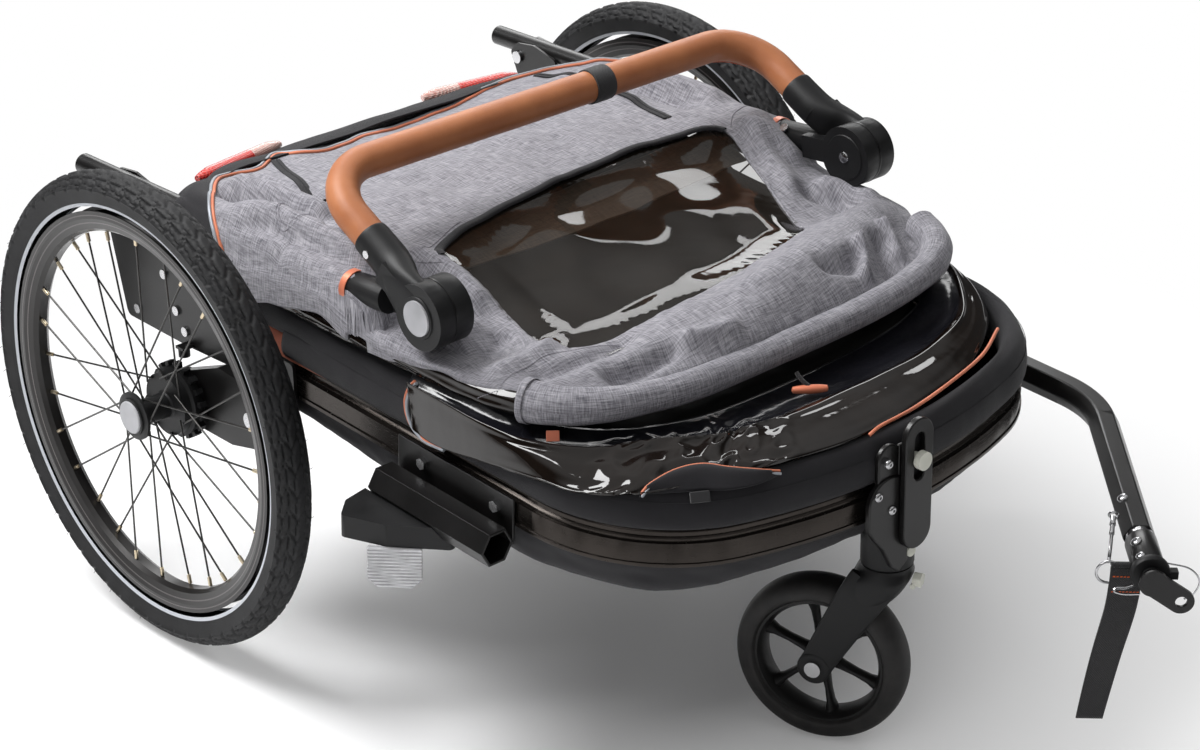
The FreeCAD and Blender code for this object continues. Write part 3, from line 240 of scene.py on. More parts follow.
finishes = {
    "melange": woven("melange", (0.095, 0.092, 0.11), (0.44, 0.43, 0.465), 0.0011, 1.15, 0.0002, 0.85, 0.12),
    "blackCloth": woven("blackCloth", (0.0045, 0.0042, 0.0055), (0.016, 0.0148, 0.0185), 0.0009, 0.35, 0.0002,
                        0.8, 0.1),
    "netting": moulded("netting", (0.005, 0.0045, 0.004), 0.75, 0.00002, 400),
    "brownMelange": woven("brownMelange", (0.07, 0.045, 0.03), (0.22, 0.15, 0.10), 0.0012, 0.9, 0.0002),
    "rustCloth": woven("rustCloth", (0.30, 0.075, 0.04), (0.52, 0.16, 0.09), 0.001, 0.3, 0.0002, 0.7),
    "webbing": woven("webbing", (0.006, 0.006, 0.007), (0.035, 0.034, 0.036), 0.0022, 0.2, 0.0006, 0.7),
    "film": glossy("film", (0.0045, 0.0024, 0.0014), 0.04, 0.0004, 45),
    "windowFilm": glossy("windowFilm", (0.020, 0.015, 0.011), 0.03, 0.0003, 24, 0.45, 1.5, 0.7),
    "silverPiping": moulded("silverPiping", (0.33, 0.35, 0.38), 0.45, 0.0001, 900, 0.3),
    "copperPiping": moulded("copperPiping", (0.62, 0.20, 0.11), 0.5, 0.0001, 900, 0.1),
    "satinRail": brushed("satinRail", (0.040, 0.034, 0.030), 0.26, 0.85, (60, 60, 900)),
    "blackPaint": moulded("blackPaint", (0.0065, 0.006, 0.006), 0.34, 0.00006, 700, 0.1, 0.2),
    "blackPlastic": moulded("blackPlastic", (0.0075, 0.0075, 0.008), 0.48, 0.0001, 1600),
    "greyPlastic": moulded("greyPlastic", (0.42, 0.42, 0.44), 0.5, 0.00008),
    "whitePlastic": moulded("whitePlastic", (0.68, 0.68, 0.60), 0.4, 0.00005),
    "copperPlastic": moulded("copperPlastic", (0.66, 0.20, 0.11), 0.38, 0.00006, 1200, 0.25, 0.2),
    "steel": brushed("steel", (0.50, 0.50, 0.51), 0.2),
    "orangeThread": moulded("orangeThread", (0.75, 0.13, 0.03), 0.7),
    "blackThread": moulded("blackThread", (0.02, 0.02, 0.022), 0.7),
}
for word, finish in list(finishes.items()):
    finishes[word] = finish.material
print("finishes made,", len(finishes))


def wheelRubber(side):
    finish = Finish("tyreRubber_" + side, specular=0.4)
    place = finish.place()
    reach = finish.fromAxle(place)
    band = 1 - ((reach - 0.2165).size() - 0.0026).between(0, 0.0004)
    lines = ((reach - 0.2225).size() < 0.0005) + ((reach - 0.2115).size() < 0.0005)
    dust = finish.noise(place, 40, 4)
    fine = finish.noise(place, 900, 2)
    black = finish.blend(dust.between(0.35, 0.75), (0.006, 0.006, 0.0066), (0.015, 0.015, 0.0165))
    finish.put("colour", finish.blend(band, black, (0.50, 0.52, 0.56)))
    finish.put("roughness", 0.66 - band * 0.25 + (fine - 0.5) * 0.1)
    finish.bump(fine * 0.3 - lines * 1.5 - band, 0.0003)
    return finish.material


def spokeSteel():
    finish = Finish("spokeSteel", metal=1.0)
    place = finish.place()
    reach = finish.fromAxle(place)
    brass = reach > 0.1778
    dust = finish.noise(place, 120, 3)
    finish.put("colour", finish.blend(brass, finish.blend(dust, (0.035, 0.034, 0.033), (0.10, 0.098, 0.095)),
                                      (0.62, 0.53, 0.38)))
    finish.put("roughness", 0.28 + dust * 0.12)
    return finish.material


def rimBlack():
    finish = Finish("rimBlack", metal=0.5, coat=0.2, coatRoughness=0.25)
    place = finish.place()
    reach = finish.fromAxle(place)
    groove = ((reach - 0.1985).size() < 0.0006) + ((reach - 0.2065).size() < 0.0006)
    dust = finish.noise(place, 50, 3)
    finish.put("colour",
               finish.blend(groove, finish.blend(dust, (0.011, 0.010, 0.010), (0.022, 0.020, 0.019)),
                                      (0.10, 0.09, 0.09)))
    finish.put("roughness", 0.36 + (dust - 0.5) * 0.15)
    finish.bump(0 - groove, 0.0004)
    return finish.material


def lensFinish(name, deep, pale):
    finish = Finish(name, coat=1.0, coatRoughness=0.05, ior=1.5)
    place = finish.place()
    across = finish.along(place, 0) + finish.along(place, 1)
    ribs = (across * (2 * pi / 0.0035)).sine() * (finish.along(place, 2) * (2 * pi / 0.0035)).sine()
    cloud = finish.noise(place, 60, 2)
    finish.put("colour", finish.blend((ribs * 0.5 + cloud).between(0.1, 1.1), deep, pale))
    finish.put("roughness", 0.12 + cloud * 0.1)
    finish.bump(ribs, 0.0004)
    return finish.material


def gripLeather():
    finish = Finish("gripLeather", coat=0.15, coatRoughness=0.4, specular=0.45)
    place = finish.place()
    cells = finish.node("ShaderNodeTexVoronoi", {"feature": "DISTANCE_TO_EDGE"},
                        {"Vector": place, "Scale": 900}, "Distance")
    pores = cells.between(0.0, 0.09)
    cloud = finish.noise(place, 22, 3)
    finish.put("colour", finish.blend(cloud.between(0.3, 0.7), (0.41, 0.135, 0.048), (0.52, 0.19, 0.072)))
    finish.put("roughness", 0.46 + (cloud - 0.5) * 0.12)
    finish.bump(pores, 0.00012)
    return finish.material


finishes["rimBlack"] = rimBlack()
finishes["spokeSteel"] = spokeSteel()
finishes["redLens"] = lensFinish("redLens", (0.50, 0.008, 0.006), (0.85, 0.05, 0.03))
finishes["pinkLens"] = lensFinish("pinkLens", (0.55, 0.22, 0.18), (0.80, 0.62, 0.56))
finishes["clearLens"] = lensFinish("clearLens", (0.30, 0.30, 0.31), (0.75, 0.75, 0.78))
finishes["gripLeather"] = gripLeather()
for side in sides:
    finishes["tyre_" + side] = wheelRubber(side)


# mesh making
class Shape:
    def __init__(self):
        self.points, self.faces, self.maps, self.marks = [], [], [], []

    def add(self, points, faces, maps):
        start = len(self.points)
        self.points += [tuple(point) for point in points]
        for index, face in enumerate(faces):
            self.faces.append([start + corner for corner in face])
            self.maps.append(maps[index])
            self.marks.append(0)

    def trim(self, keep):
        # leaves out the faces whose entry in keep is false
        self.faces = [face for face, good in zip(self.faces, keep) if good]
        self.maps = [maps for maps, good in zip(self.maps, keep) if good]
        self.marks = [mark for mark, good in zip(self.marks, keep) if good]

    def sheet(self, net, aroundRows=False, aroundColumns=False, caps=False):
        # net is rows x columns x 3 in millimetres, its UV runs in metres along both ways
        net = np.asarray(net, float)
        rows, columns = net.shape[:2]
        wide, tall = (np.concatenate([net, net[:, :1]], 1) if aroundColumns else net), net
        tall = np.concatenate([tall, tall[:1]], 0) if aroundRows else tall
        uRun = np.concatenate([[0], np.cumsum(np.linalg.norm(np.diff(wide, axis=1), axis=2).mean(0))]) / 1000
        vRun = np.concatenate([[0], np.cumsum(np.linalg.norm(np.diff(tall, axis=0), axis=2).mean(1))]) / 1000
        faces, maps = [], []
        for row in range(rows if aroundRows else rows - 1):
            for column in range(columns if aroundColumns else columns - 1):
                nextRow, nextColumn = (row + 1) % rows, (column + 1) % columns
                faces.append([row * columns + column, row * columns + nextColumn,
                              nextRow * columns + nextColumn,
                              nextRow * columns + column])
                maps.append([(uRun[column], vRun[row]), (uRun[column + 1], vRun[row]),
                             (uRun[column + 1], vRun[row + 1]), (uRun[column], vRun[row + 1])])
        if caps and aroundColumns and not aroundRows:
            first, last = list(range(columns)), list(range((rows - 1) * columns, rows * columns))
            for face, row in ((first[::-1], net[0]), (last, net[-1])):
                centre = row.mean(0)
                faces.append(face)
                maps.append([(float(np.hypot(*(row[i % columns] - centre)[:2])) / 1000,
                              float((row[i % columns] - centre)[2] + 30) / 1000) for i in face])
        self.add(net.reshape(-1, 3), faces, maps)

    def lathe(self, profile, steps=96, centre=(0, 0, 0), closed=False):
        # profile of (x, radius) turned about the X axis
        angles = [2 * pi * step / steps for step in range(steps)]
        net = [[(centre[0] + x, centre[1] + r * cos(a), centre[2] + r * sin(a)) for x, r in profile]
               for a in angles]
        self.sheet(net, aroundRows=True, aroundColumns=closed)

    def tube(self, line, radius, sides=10, closed=False):
        line = [Vector(point) for point in line]
        count = len(line)
        rows = []
        side = None
        for index in range(count):
            before = line[index - 1] if index or closed else line[0]
            after = line[(index + 1) % count] if index < count - 1 or closed else line[-1]
            ahead = (after - before).normalized()
            if side is None:
                side = ahead.orthogonal().normalized()
                if abs(ahead.z) < 0.9:
                    side = ahead.cross(Vector((0, 0, 1))).normalized()
            side = (side - ahead * side.dot(ahead)).normalized()
            other = ahead.cross(side)
            size = radius(index / max(count - 1, 1)) if callable(radius) else radius
            rows.append([line[index] + side * size * cos(2 * pi * k / sides)
                         + other * size * sin(2 * pi * k / sides) for k in range(sides)])
        self.sheet(rows, aroundRows=closed, aroundColumns=True, caps=not closed)

    def plate(self, outline, low, high, axes="xyz"):
        # outline in the first two axes, drawn out between low and high along the third
        order = ["xyz".index(letter) for letter in axes]
        rings = []
        for level in (low, high):
            ring = []
            for a, b in outline:
                point = [0, 0, 0]
                point[order[0]], point[order[1]], point[order[2]] = a, b, level
                ring.append(point)
            rings.append(ring)
        self.sheet(rings, aroundColumns=True, caps=True)


def smoothLine(points, steps, closed=False):
    points = np.asarray(points, float)
    count = len(points)
    spans = count if closed else count - 1
    out = []
    for step in range(steps + (0 if closed else 1)):
        where = spans * step / steps
        span = min(int(where), spans - 1)
        t = where - span
        if closed:
            p = [points[(span + k) % count] for k in (-1, 0, 1, 2)]
        else:
            first = points[span - 1] if span else 2 * points[0] - points[1]
            last = points[span + 2] if span + 2 < count else 2 * points[-1] - points[-2]
            p = [first, points[span], points[span + 1], last]
        out.append(0.5 * (2 * p[1] + (p[2] - p[0]) * t + (2 * p[0] - 5 * p[1] + 4 * p[2] - p[3]) * t * t
                          + (3 * p[1] - p[0] - 3 * p[2] + p[3]) * t ** 3))
    return np.array(out)


def evenLine(points, steps, closed=False):
    fine = smoothLine(points, steps * 6, closed)
    if closed:
        fine = np.concatenate([fine, fine[:1]])
    run = np.concatenate([[0], np.cumsum(np.linalg.norm(np.diff(fine, axis=0), axis=1))])
    wanted = np.linspace(0, run[-1], steps + 1)
    out = np.stack([np.interp(wanted, run, fine[:, k]) for k in range(fine.shape[1])], 1)
    return out[:-1] if closed else out


def softNet(net, rows, columns):
    net = np.asarray(net, float)
    down = np.stack([smoothLine(net[:, column], rows) for column in range(net.shape[1])], 1)
    return np.stack([smoothLine(down[row], columns) for row in range(down.shape[0])], 0)


foldLook = {"strength": 1.5, "taper": 5}


def creased(net, creases):
    # each crease lifts or sinks the cloth along a line in plan
    plan = net[..., :2].reshape(-1, 2)
    lift = np.zeros(len(plan))
    for crease in creases:
        line = evenLine(crease["line"], 14)[:, :2]
        nearest = np.full(len(plan), 1e9)
        share = np.zeros(len(plan))
        for index in range(len(line) - 1):
            start, run = line[index], line[index + 1] - line[index]
            t = np.clip(((plan - start) @ run) / max(run @ run, 1e-9), 0, 1)
            gap = np.linalg.norm(plan - start - t[:, None] * run, axis=1)
            closer = gap < nearest
            nearest = np.where(closer, gap, nearest)
            share = np.where(closer, (index + t) / (len(line) - 1), share)
        fade = np.clip(np.minimum(share, 1 - share) * foldLook["taper"], 0, 1)
        fade = fade * fade * (3 - 2 * fade)
        lift += crease["rise"] * foldLook["strength"] * fade * np.exp(-(nearest / crease["width"]) ** 2)
    out = net.copy()
    out[..., 2] += lift.reshape(net.shape[:-1])
    return out


def ruffled(net, size, wave, seed=0.0, stretch=(1, 1, 1)):
    out = net.copy()
    flat = out.reshape(-1, 3)
    factors = Vector(stretch) / wave
    for index in range(len(flat)):
        point = Vector(flat[index])
        place = Vector((point.x * factors.x, point.y * factors.y, point.z * factors.z + seed))
        flat[index][2] += size * noise.noise(place)
    return out


def makePiece(name, shape, place, body, look, stands=(), sharp=35):
    mesh = bpy.data.meshes.new(name)
    mesh.from_pydata(shape.points, [], shape.faces)
    layer = mesh.uv_layers.new(name="UVMap")
    coordinates = [value for face in shape.maps for corner in face for value in corner]
    layer.data.foreach_set("uv", coordinates)
    looks = look if isinstance(look, (list, tuple)) else [look]
    for word in looks:
        mesh.materials.append(finishes[word])
    mesh.polygons.foreach_set("material_index", shape.marks)
    mesh.transform(place)
    work = bmesh.new()
    work.from_mesh(mesh)
    bmesh.ops.recalc_face_normals(work, faces=work.faces)
    work.to_mesh(mesh)
    work.free()
    mesh.shade_smooth()
    mesh.set_sharp_from_angle(angle=radians(sharp))
    piece = bpy.data.objects.new(name, mesh)
    scene.collection.objects.link(piece)
    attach(piece, body)
    if stands:
        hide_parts(*stands)
    return piece


def edged(piece, width, segments=2, angle=35):
    modifier = piece.modifiers.new("edge", "BEVEL")
    modifier.width = width / 1000
    modifier.segments = segments
    modifier.limit_method = "ANGLE"
    modifier.angle_limit = radians(angle)
    modifier.harden_normals = True
    return piece


def rounded(piece, levels=1):
    modifier = piece.modifiers.new("smooth", "SUBSURF")
    modifier.levels = modifier.render_levels = levels
    return piece


def thick(piece, depth, offset=-1):
    modifier = piece.modifiers.new("cloth", "SOLIDIFY")
    modifier.thickness = depth / 1000
    modifier.offset = offset
    return piece


def asCloth(piece):
    # reads its UV map, which runs in metres, and does nothing more with it
    layer = np.zeros(len(piece.data.loops) * 2)
    piece.data.uv_layers[0].data.foreach_get("uv", layer)


# finishes of the parts that stay as they are
kept = {
    "satinRail": ("floor_rail",),
    "blackPaint": ("cross_tubes", "side_plates", "inner_cheeks", "receivers", "drawbar_tube", "coupling",
                   "hitch_plate", "suspension_arm_right", "suspension_arm_left", "roll_frame"),
    "blackPlastic": ("wing_covers", "handle_bases", "handle_arms", "hub_right",
                     "hub_left", "hitch_collar", "suspension_buffers"),
    "steel": ("fold_bolts", "arm_pivots", "chassis_bolts", "caster_axle", "handle_screws",
              "hitch_spring"),
    "whitePlastic": ("release_knob", "stem_button", "lock_lever"),
    "greyPlastic": ("handle_button_right", "handle_button_left", "axle_cap_right", "axle_cap_left"),
    "copperPlastic": ("arm_cuffs",),
    "rimBlack": ("rim_right", "rim_left"),
    "spokeSteel": ("spokes_right", "spokes_left"),
    "clearLens": ("side_reflectors",),
}
edgeWidths = {"drawbar_tube": 1.6, "receivers": 1.2, "handle_arms": 2.2, "handle_bases": 2.0,
              "hitch_plate": 0.8, "wing_covers": 2.0, "coupling": 0.8,
              "release_knob": 1.5, "lock_lever": 1.2, "stem_button": 1.2, "handle_button_right": 1.5,
              "handle_button_left": 1.5, "side_plates": 0.8, "axle_cap_right": 1.5, "axle_cap_left": 1.5,
              "side_reflectors": 1.0, "caster_axle": 1.2, "floor_rail": 0.5, "fold_bolts": 0.9}


def dressKept():
    for look, names in kept.items():
        for name in names:
            node = nodes[name]
            node.data.materials.clear()
            node.data.materials.append(finishes[look])
            if name in edgeWidths:
                weld = node.modifiers.new("weld", "WELD")
                weld.merge_threshold = 0.00001
                edged(node, edgeWidths[name])


dressKept()
print("kept parts finished")

# big wheels
wheelSizes = {"axleX": 362.6, "axleZ": 250, "section": 22, "centre": 228, "casing": 19.8, "pitches": 62,
              "steps": 1116, "bands": 46, "height": 1.9, "hairs": 70, "hairFoot": 21.3, "hairRadius": 0.28}


def treadHeight(turn, across):
    # blocks of a zigzag tread, with turn in block pitches and across in millimetres from the crown
    zig = 1.5 * (2 * np.abs(2 * ((turn + 0.25) % 1) - 1) - 1)
    side = np.abs(across + zig * 0.6)
    rib = np.ones_like(side)
    for groove, wide in ((6.0, 1.1), (14.5, 1.2), (22.5, 1.0)):
        rib *= np.clip((np.abs(side - groove) - wide * 0.5) / 0.8, 0, 1)
    row = np.digitize(side, (6.0, 14.5, 22.5))
    slant = np.array([0.055, -0.07, 0.06, -0.03])[row]
    shift = np.array([0.0, 0.42, 0.1, 0.3])[row]
    phase = (turn + shift + slant * across) % 1
    cut = np.clip((np.abs(phase - 0.5) * -1 + 0.5 - 0.045) / 0.05, 0, 1)
    sipe = 1 - 0.45 * np.clip(1 - np.abs(((phase * 5) % 1) - 0.5) / 0.12, 0, 1) * (row < 3)
    edge = np.clip((29.0 - np.abs(across)) / 1.5, 0, 1)
    return rib * cut * sipe * edge


def makeTyre(word):
    sizes = wheelSizes
    side = sides[word]
    angles = np.linspace(0, 2 * pi, sizes["steps"], endpoint=False)
    arc = np.linspace(-1.92, 1.92, sizes["bands"])
    turn, lean = np.meshgrid(angles, arc, indexing="ij")
    across = lean * sizes["section"]
    block = treadHeight(turn / (2 * pi) * sizes["pitches"], across)
    bulge = sizes["casing"] + sizes["height"] * block
    pinch = np.clip((np.abs(lean) - 1.3) / 0.62, 0, 1) * 5.5
    x = (bulge - pinch) * np.sin(lean)
    r = sizes["centre"] + bulge * np.cos(lean) - np.clip(np.abs(lean) - 1.5, 0, 1) * 13
    net = np.stack([side * sizes["axleX"] + x, r * np.cos(turn), sizes["axleZ"] + r * np.sin(turn)], 2)
    shape = Shape()
    shape.sheet(net, aroundRows=True)
    makePiece("tyreTread_" + word, shape, trailer, "wheel_" + word, "tyre_" + word,
              ["tyre_" + word], sharp=50)
    hairs = Shape()
    for step in range(sizes["hairs"]):
        angle = step * 2.399
        lean = 1.15 + 0.12 * sin(step * 5.1)
        lean *= 1 if step % 2 else -1
        reach = sizes["centre"] + cos(lean) * sizes["hairFoot"]
        base = Vector((side * sizes["axleX"] + sin(lean) * sizes["hairFoot"], reach * cos(angle),
                       sizes["axleZ"] + reach * sin(angle)))
        out = Vector((sin(lean), cos(lean) * cos(angle), cos(lean) * sin(angle)))
        bend = out.cross(Vector((1, 0, 0))).normalized()
        hairs.tube([base, base + out * 1.8 + bend * 0.6, base + out * 3.0 + bend * 1.6], sizes["hairRadius"],
                   4)
    makePiece("tyreHairs_" + word, hairs, trailer, "wheel_" + word, "tyre_" + word)


for word in sides:
    makeTyre(word)


# caster wheel
casterSizes = {"radius": 86, "spokes": 6, "rimIn": 58, "rimOut": 67, "half": 15}
casterPlace = forkPlace @ Matrix.Translation((0, 61.3, 86))


def makeCaster():
    tyre = Shape()
    tyre.lathe([(-15, 64.2), (-19.3, 66.5), (-19.9, 70), (-19.2, 72.2), (-19.4, 73), (-18.3, 77),
                (-15.5, 81.5),
                (-11, 84.6), (-6, 85.6), (-2, 86), (2, 86), (6, 85.6), (11, 84.6), (15.5, 81.5), (18.3, 77),
                (19.4, 73), (19.2, 72.2), (19.9, 70), (19.3, 66.5), (15, 64.2)], 128)
    rounded(makePiece("casterTread", tyre, casterPlace, "caster_wheel", "casterRubber",
                      ["caster_tyre"]))
    rim = Shape()
    rim.lathe([(-15.5, 64.8), (-15.5, 62.2), (-13, 60.6), (-9, 58.4), (0, 57.6), (9, 58.4), (13, 60.6),
               (15.5, 62.2),
               (15.5, 64.8)], 96, closed=True)
    rim.lathe([(-17, 5.2), (-17, 10.5), (-14, 12.5), (-8, 13.6), (8, 13.6), (14, 12.5), (17, 10.5),
               (17, 5.2)], 48,
              closed=True)
    for step in range(casterSizes["spokes"]):
        angle = 2 * pi * step / casterSizes["spokes"] + 0.35
        rows = []
        for reach, wide, deep in ((11.5, 5.5, 9), (22, 3.9, 7.5), (36, 3.3, 6.5), (50, 3.9, 7.5),
                                  (59.5, 7.0, 10)):
            ring = []
            for k in range(12):
                a = 2 * pi * k / 12
                u, x = wide * cos(a), deep * sin(a)
                ring.append((x, reach * cos(angle) - u * sin(angle), reach * sin(angle) + u * cos(angle)))
            rows.append(ring)
        rim.sheet(rows, aroundColumns=True, caps=True)
    makePiece("casterRim", rim, casterPlace, "caster_wheel", "casterPlastic", ["caster_rim"])


def casterFinishes():
    finish = Finish("casterRubber", specular=0.4)
    place = finish.place()
    dust = finish.noise(place, 60, 4)
    fine = finish.noise(place, 900, 2)
    finish.put("colour",
               finish.blend(dust.between(0.3, 0.75), (0.010, 0.0095, 0.0095), (0.024, 0.022, 0.021)))
    finish.put("roughness", 0.55 + (fine - 0.5) * 0.12)
    finish.bump(fine + dust, 0.00015)
    finishes["casterRubber"] = finish.material
    finishes["casterPlastic"] = moulded("casterPlastic", (0.011, 0.0105, 0.0105), 0.4, 0.00008).material


casterFinishes()
makeCaster()
print("wheels made")


# canopy cloth, one sheet from the rear piping to the front roll
canopyRows = (
    # y at middle, y at edge, heights at middle, quarter, shoulder and edge, half widths at shoulder and edge
    (52, 40, 441, 449, 452, 424, 262, 296), (30, 16, 446, 452, 456, 414, 280, 299),
    (-10, -30, 452, 456, 457, 406, 284, 301), (-70, -86, 457, 458, 458, 399, 285, 302),
    (-140, -150, 460, 460, 459, 395, 285, 302), (-205, -212, 460, 459, 456, 395, 284, 301),
    (-245, -252, 457, 455, 450, 397, 279, 299), (-300, -304, 445, 440, 424, 399, 268, 297),
    (-350, -352, 427, 420, 411, 401, 264, 296), (-395, -392, 411, 409, 407, 401, 262, 294),
)


def canopyNet():
    net = []
    for middleY, edgeY, top, quarter, shoulder, edge, wide, reach in canopyRows:
        row = []
        for share, x, z in ((1, reach + 1, edge - 3), (1, reach, edge + (shoulder - edge) * 0.45),
                            (0.92, wide, shoulder),
                            (0.72, wide * 0.78, shoulder + (quarter - shoulder) * 0.55),
                            (0.45, wide * 0.46, quarter),
                            (0.2, wide * 0.22, top + (quarter - top) * 0.2)):
            row.append((x, middleY + (edgeY - middleY) * share ** 2, z))
        low = float(np.interp(-edgeY, (-40, -16, 30, 86, 150, 212, 252, 304, 352, 392),
                              (413, 400, 390, 385, 394, 404, 388, 384, 392, 398)))
        drop = edge - 3 - low
        full = [(-x - (1.5 if index < 2 else 0), y, z - drop * (1, 0.55, 0, 0, 0, 0)[index]) for index,
                (x, y, z) in
                enumerate(row)] + [(0, middleY, top)] + [point for point in reversed(row)]
        net.append(full)
    return net


# front rows are written out, from the near side to the far side
frontRows = (
    ((-291, -420, 392), (-289, -424, 399), (-272, -430, 406), (-228, -434, 408), (-146, -446, 412),
     (-66, -452, 416),
     (0, -452, 420), (66, -446, 424), (146, -432, 426), (212, -418, 424), (262, -410, 414), (304, -408, 396),
     (308, -406, 382)),
    ((-284, -440, 392), (-281, -445, 399), (-264, -454, 406), (-226, -464, 411), (-150, -478, 418),
     (-70, -486, 427),
     (0, -486, 432), (68, -475, 435), (146, -458, 434), (208, -440, 430), (256, -428, 416), (296, -424, 394),
     (301, -422, 382)),
    ((-277, -456, 390), (-274, -462, 398), (-257, -474, 405), (-222, -490, 409), (-154, -508, 415),
     (-74, -516, 422),
     (0, -516, 426), (70, -505, 430), (144, -487, 429), (202, -464, 425), (248, -446, 412), (290, -438, 392),
     (296, -436, 382)),
    ((-272, -465, 389), (-269, -471, 396), (-252, -487, 402), (-216, -507, 403), (-155, -527, 403),
     (-76, -535, 407),
     (0, -535, 410), (72, -526, 413), (141, -510, 412), (196, -486, 410), (240, -462, 403), (284, -450, 390),
     (291, -448, 381)),
    ((-268, -472, 388), (-265, -478, 394), (-249, -497, 400), (-212, -518, 397), (-156, -536, 396),
     (-77, -543, 397),
     (0, -543, 398), (72, -539, 398), (140, -527, 397), (192, -506, 396), (234, -480, 396), (276, -458, 388),
     (286, -456, 381)),
    ((-270, -475, 384), (-267, -482, 387), (-250, -505, 391), (-214, -526, 391), (-157, -542, 388),
     (-78, -547, 385),
     (0, -546, 385), (72, -545, 386), (140, -541, 388), (196, -529, 391), (244, -502, 396), (264, -470, 399),
     (268, -466, 391)),
)
canopyFolds = (
    {"line": ((-301, -70), (-292, -110), (-288, -165), (-287, -230), (-285, -330)), "rise": -18, "width": 8},
    {"line": ((-283, -30), (-270, -90), (-266, -150), (-272, -215), (-276, -300), (-272, -370)), "rise": 12,
     "width": 16},
    {"line": ((-262, 10), (-252, -50), (-246, -110), (-256, -170)), "rise": -15, "width": 9},
    {"line": ((-240, 26), (-232, -20), (-222, -90), (-232, -150)), "rise": 10, "width": 14},
    {"line": ((-206, 36), (-212, -20), (-206, -80), (-198, -120)), "rise": -8, "width": 10},
    {"line": ((-262, -172), (-240, -190), (-222, -198)), "rise": -7, "width": 8},
    {"line": ((-250, -128), (-222, -140), (-196, -132)), "rise": -6, "width": 7},
    {"line": ((-232, -240), (-214, -262), (-203, -296), (-206, -350)), "rise": 9, "width": 13},
    {"line": ((-254, -262), (-236, -290), (-226, -330)), "rise": -8, "width": 10},
    {"line": ((-214, -376), (-236, -392), (-262, -404)), "rise": -7, "width": 9},
    {"line": ((-274, -372), (-250, -364), (-226, -352)), "rise": 7, "width": 13},
    {"line": ((-288, -430), (-235, -436), (-190, -430)), "rise": 7, "width": 12},
    {"line": ((-268, -456), (-222, -470), (-176, -476), (-130, -472)), "rise": -7, "width": 9},
    {"line": ((-214, -506), (-168, -516), (-118, -516)), "rise": -9, "width": 8},
    {"line": ((-120, -508), (-92, -524), (-50, -532)), "rise": 6, "width": 8},
    {"line": ((250, -40), (262, -110), (270, -190)), "rise": 8, "width": 17},
    {"line": ((222, -20), (236, -110), (244, -180)), "rise": -9, "width": 13},
    {"line": ((192, 20), (206, -60), (212, -140)), "rise": 5, "width": 16},
    {"line": ((225, -232), (252, -262), (262, -310)), "rise": 8, "width": 14},
    {"line": ((238, -240), (226, -300), (204, -356)), "rise": 7, "width": 13},
    {"line": ((246, -330), (268, -372), (262, -410)), "rise": 9, "width": 14},
    {"line": ((220, -330), (240, -370), (238, -405)), "rise": -9, "width": 12},
    {"line": ((-120, -40), (-20, -52), (90, -40)), "rise": -2, "width": 26},
    {"line": ((-60, 20), (20, -80), (60, -150)), "rise": 3, "width": 22},
    {"line": ((-150, -60), (-110, -130), (-60, -190)), "rise": -3, "width": 20},
    {"line": ((70, -500), (112, -506), (150, -492)), "rise": -10, "width": 9},
    {"line": ((118, -532), (136, -508), (160, -480)), "rise": 9, "width": 7},
    {"line": ((152, -528), (170, -500), (192, -470)), "rise": -10, "width": 8},
    {"line": ((188, -510), (206, -486), (216, -456)), "rise": 8, "width": 8},
    {"line": ((-20, -496), (40, -492), (96, -478)), "rise": 3, "width": 18},
)


def windowOutline():
    # plan corners of the clear window, near to far round the back
    back = [(-199, -268), (-186, -257), (-150, -245), (-90, -233), (-20, -223), (60, -215), (130, -212),
            (180, -216),
            (208, -228)]
    front = [(214, -240), (196, -305), (175, -358), (153, -410), (138, -425), (100, -436), (40, -447),
             (-35, -453),
             (-103, -457), (-166, -459), (-192, -448), (-203, -428), (-199, -390), (-190, -340), (-192, -300)]
    return back, front


def insideOutline(outline, x, y):
    inside = False
    for index in range(len(outline)):
        (x1, y1), (x2, y2) = outline[index - 1], outline[index]
        if (y1 > y) != (y2 > y) and x < (x2 - x1) * (y - y1) / (y2 - y1) + x1:
            inside = not inside
    return inside


pipingLine = ((-304, -78), (-303, -62), (-297, -44), (-284, -24), (-256, 10), (-230, 34), (-208, 38),
              (-188, 31),
              (-166, 43), (-145, 53), (-128, 36), (-100, 24), (-50, 34), (0, 40), (90, 43), (160, 46),
              (214, 42),
              (246, 24), (280, -4), (298, -30), (303, -62))


def overTube(net):
    # the cloth lies over the side tubes of the frame below it, as far as the cuff
    mesh = nodes["roll_frame"].data
    ends = np.array([vertex.co[:] for vertex in mesh.vertices]) * 1000 - np.array([0, 341.8, 0])
    pairs = np.array([edge.vertices[:] for edge in mesh.edges])
    tube = np.concatenate([ends[pairs[:, 0]] * (1 - share) + ends[pairs[:, 1]] * share
                           for share in np.linspace(0, 1, 40)])
    flat = net.reshape(-1, 3)
    for side in (-1, 1):
        levels, places, tops = [], [], []
        for y in range(-330, 61, 10):
            part = tube[(tube[:, 0] * side > 200) & (abs(tube[:, 1] - y) < 9)]
            if len(part):
                levels.append(y)
                places.append(float(part[:, 0].min() + part[:, 0].max()) / 2)
                tops.append(float(part[:, 2].max()))
        for y in range(-255, 11, 5):
            x, top = float(np.interp(y, levels, places)), float(np.interp(y, levels, tops))
            gap = np.hypot(flat[:, 0] - x, (flat[:, 1] - y) * 0.5)
            wanted = top + 4.5 - 13 * (gap / 15) ** 3.0
            near = (wanted > flat[:, 2]) & (gap < 20) & (abs(flat[:, 0]) < 301.5)
            flat[near, 2] = wanted[near]
    return net


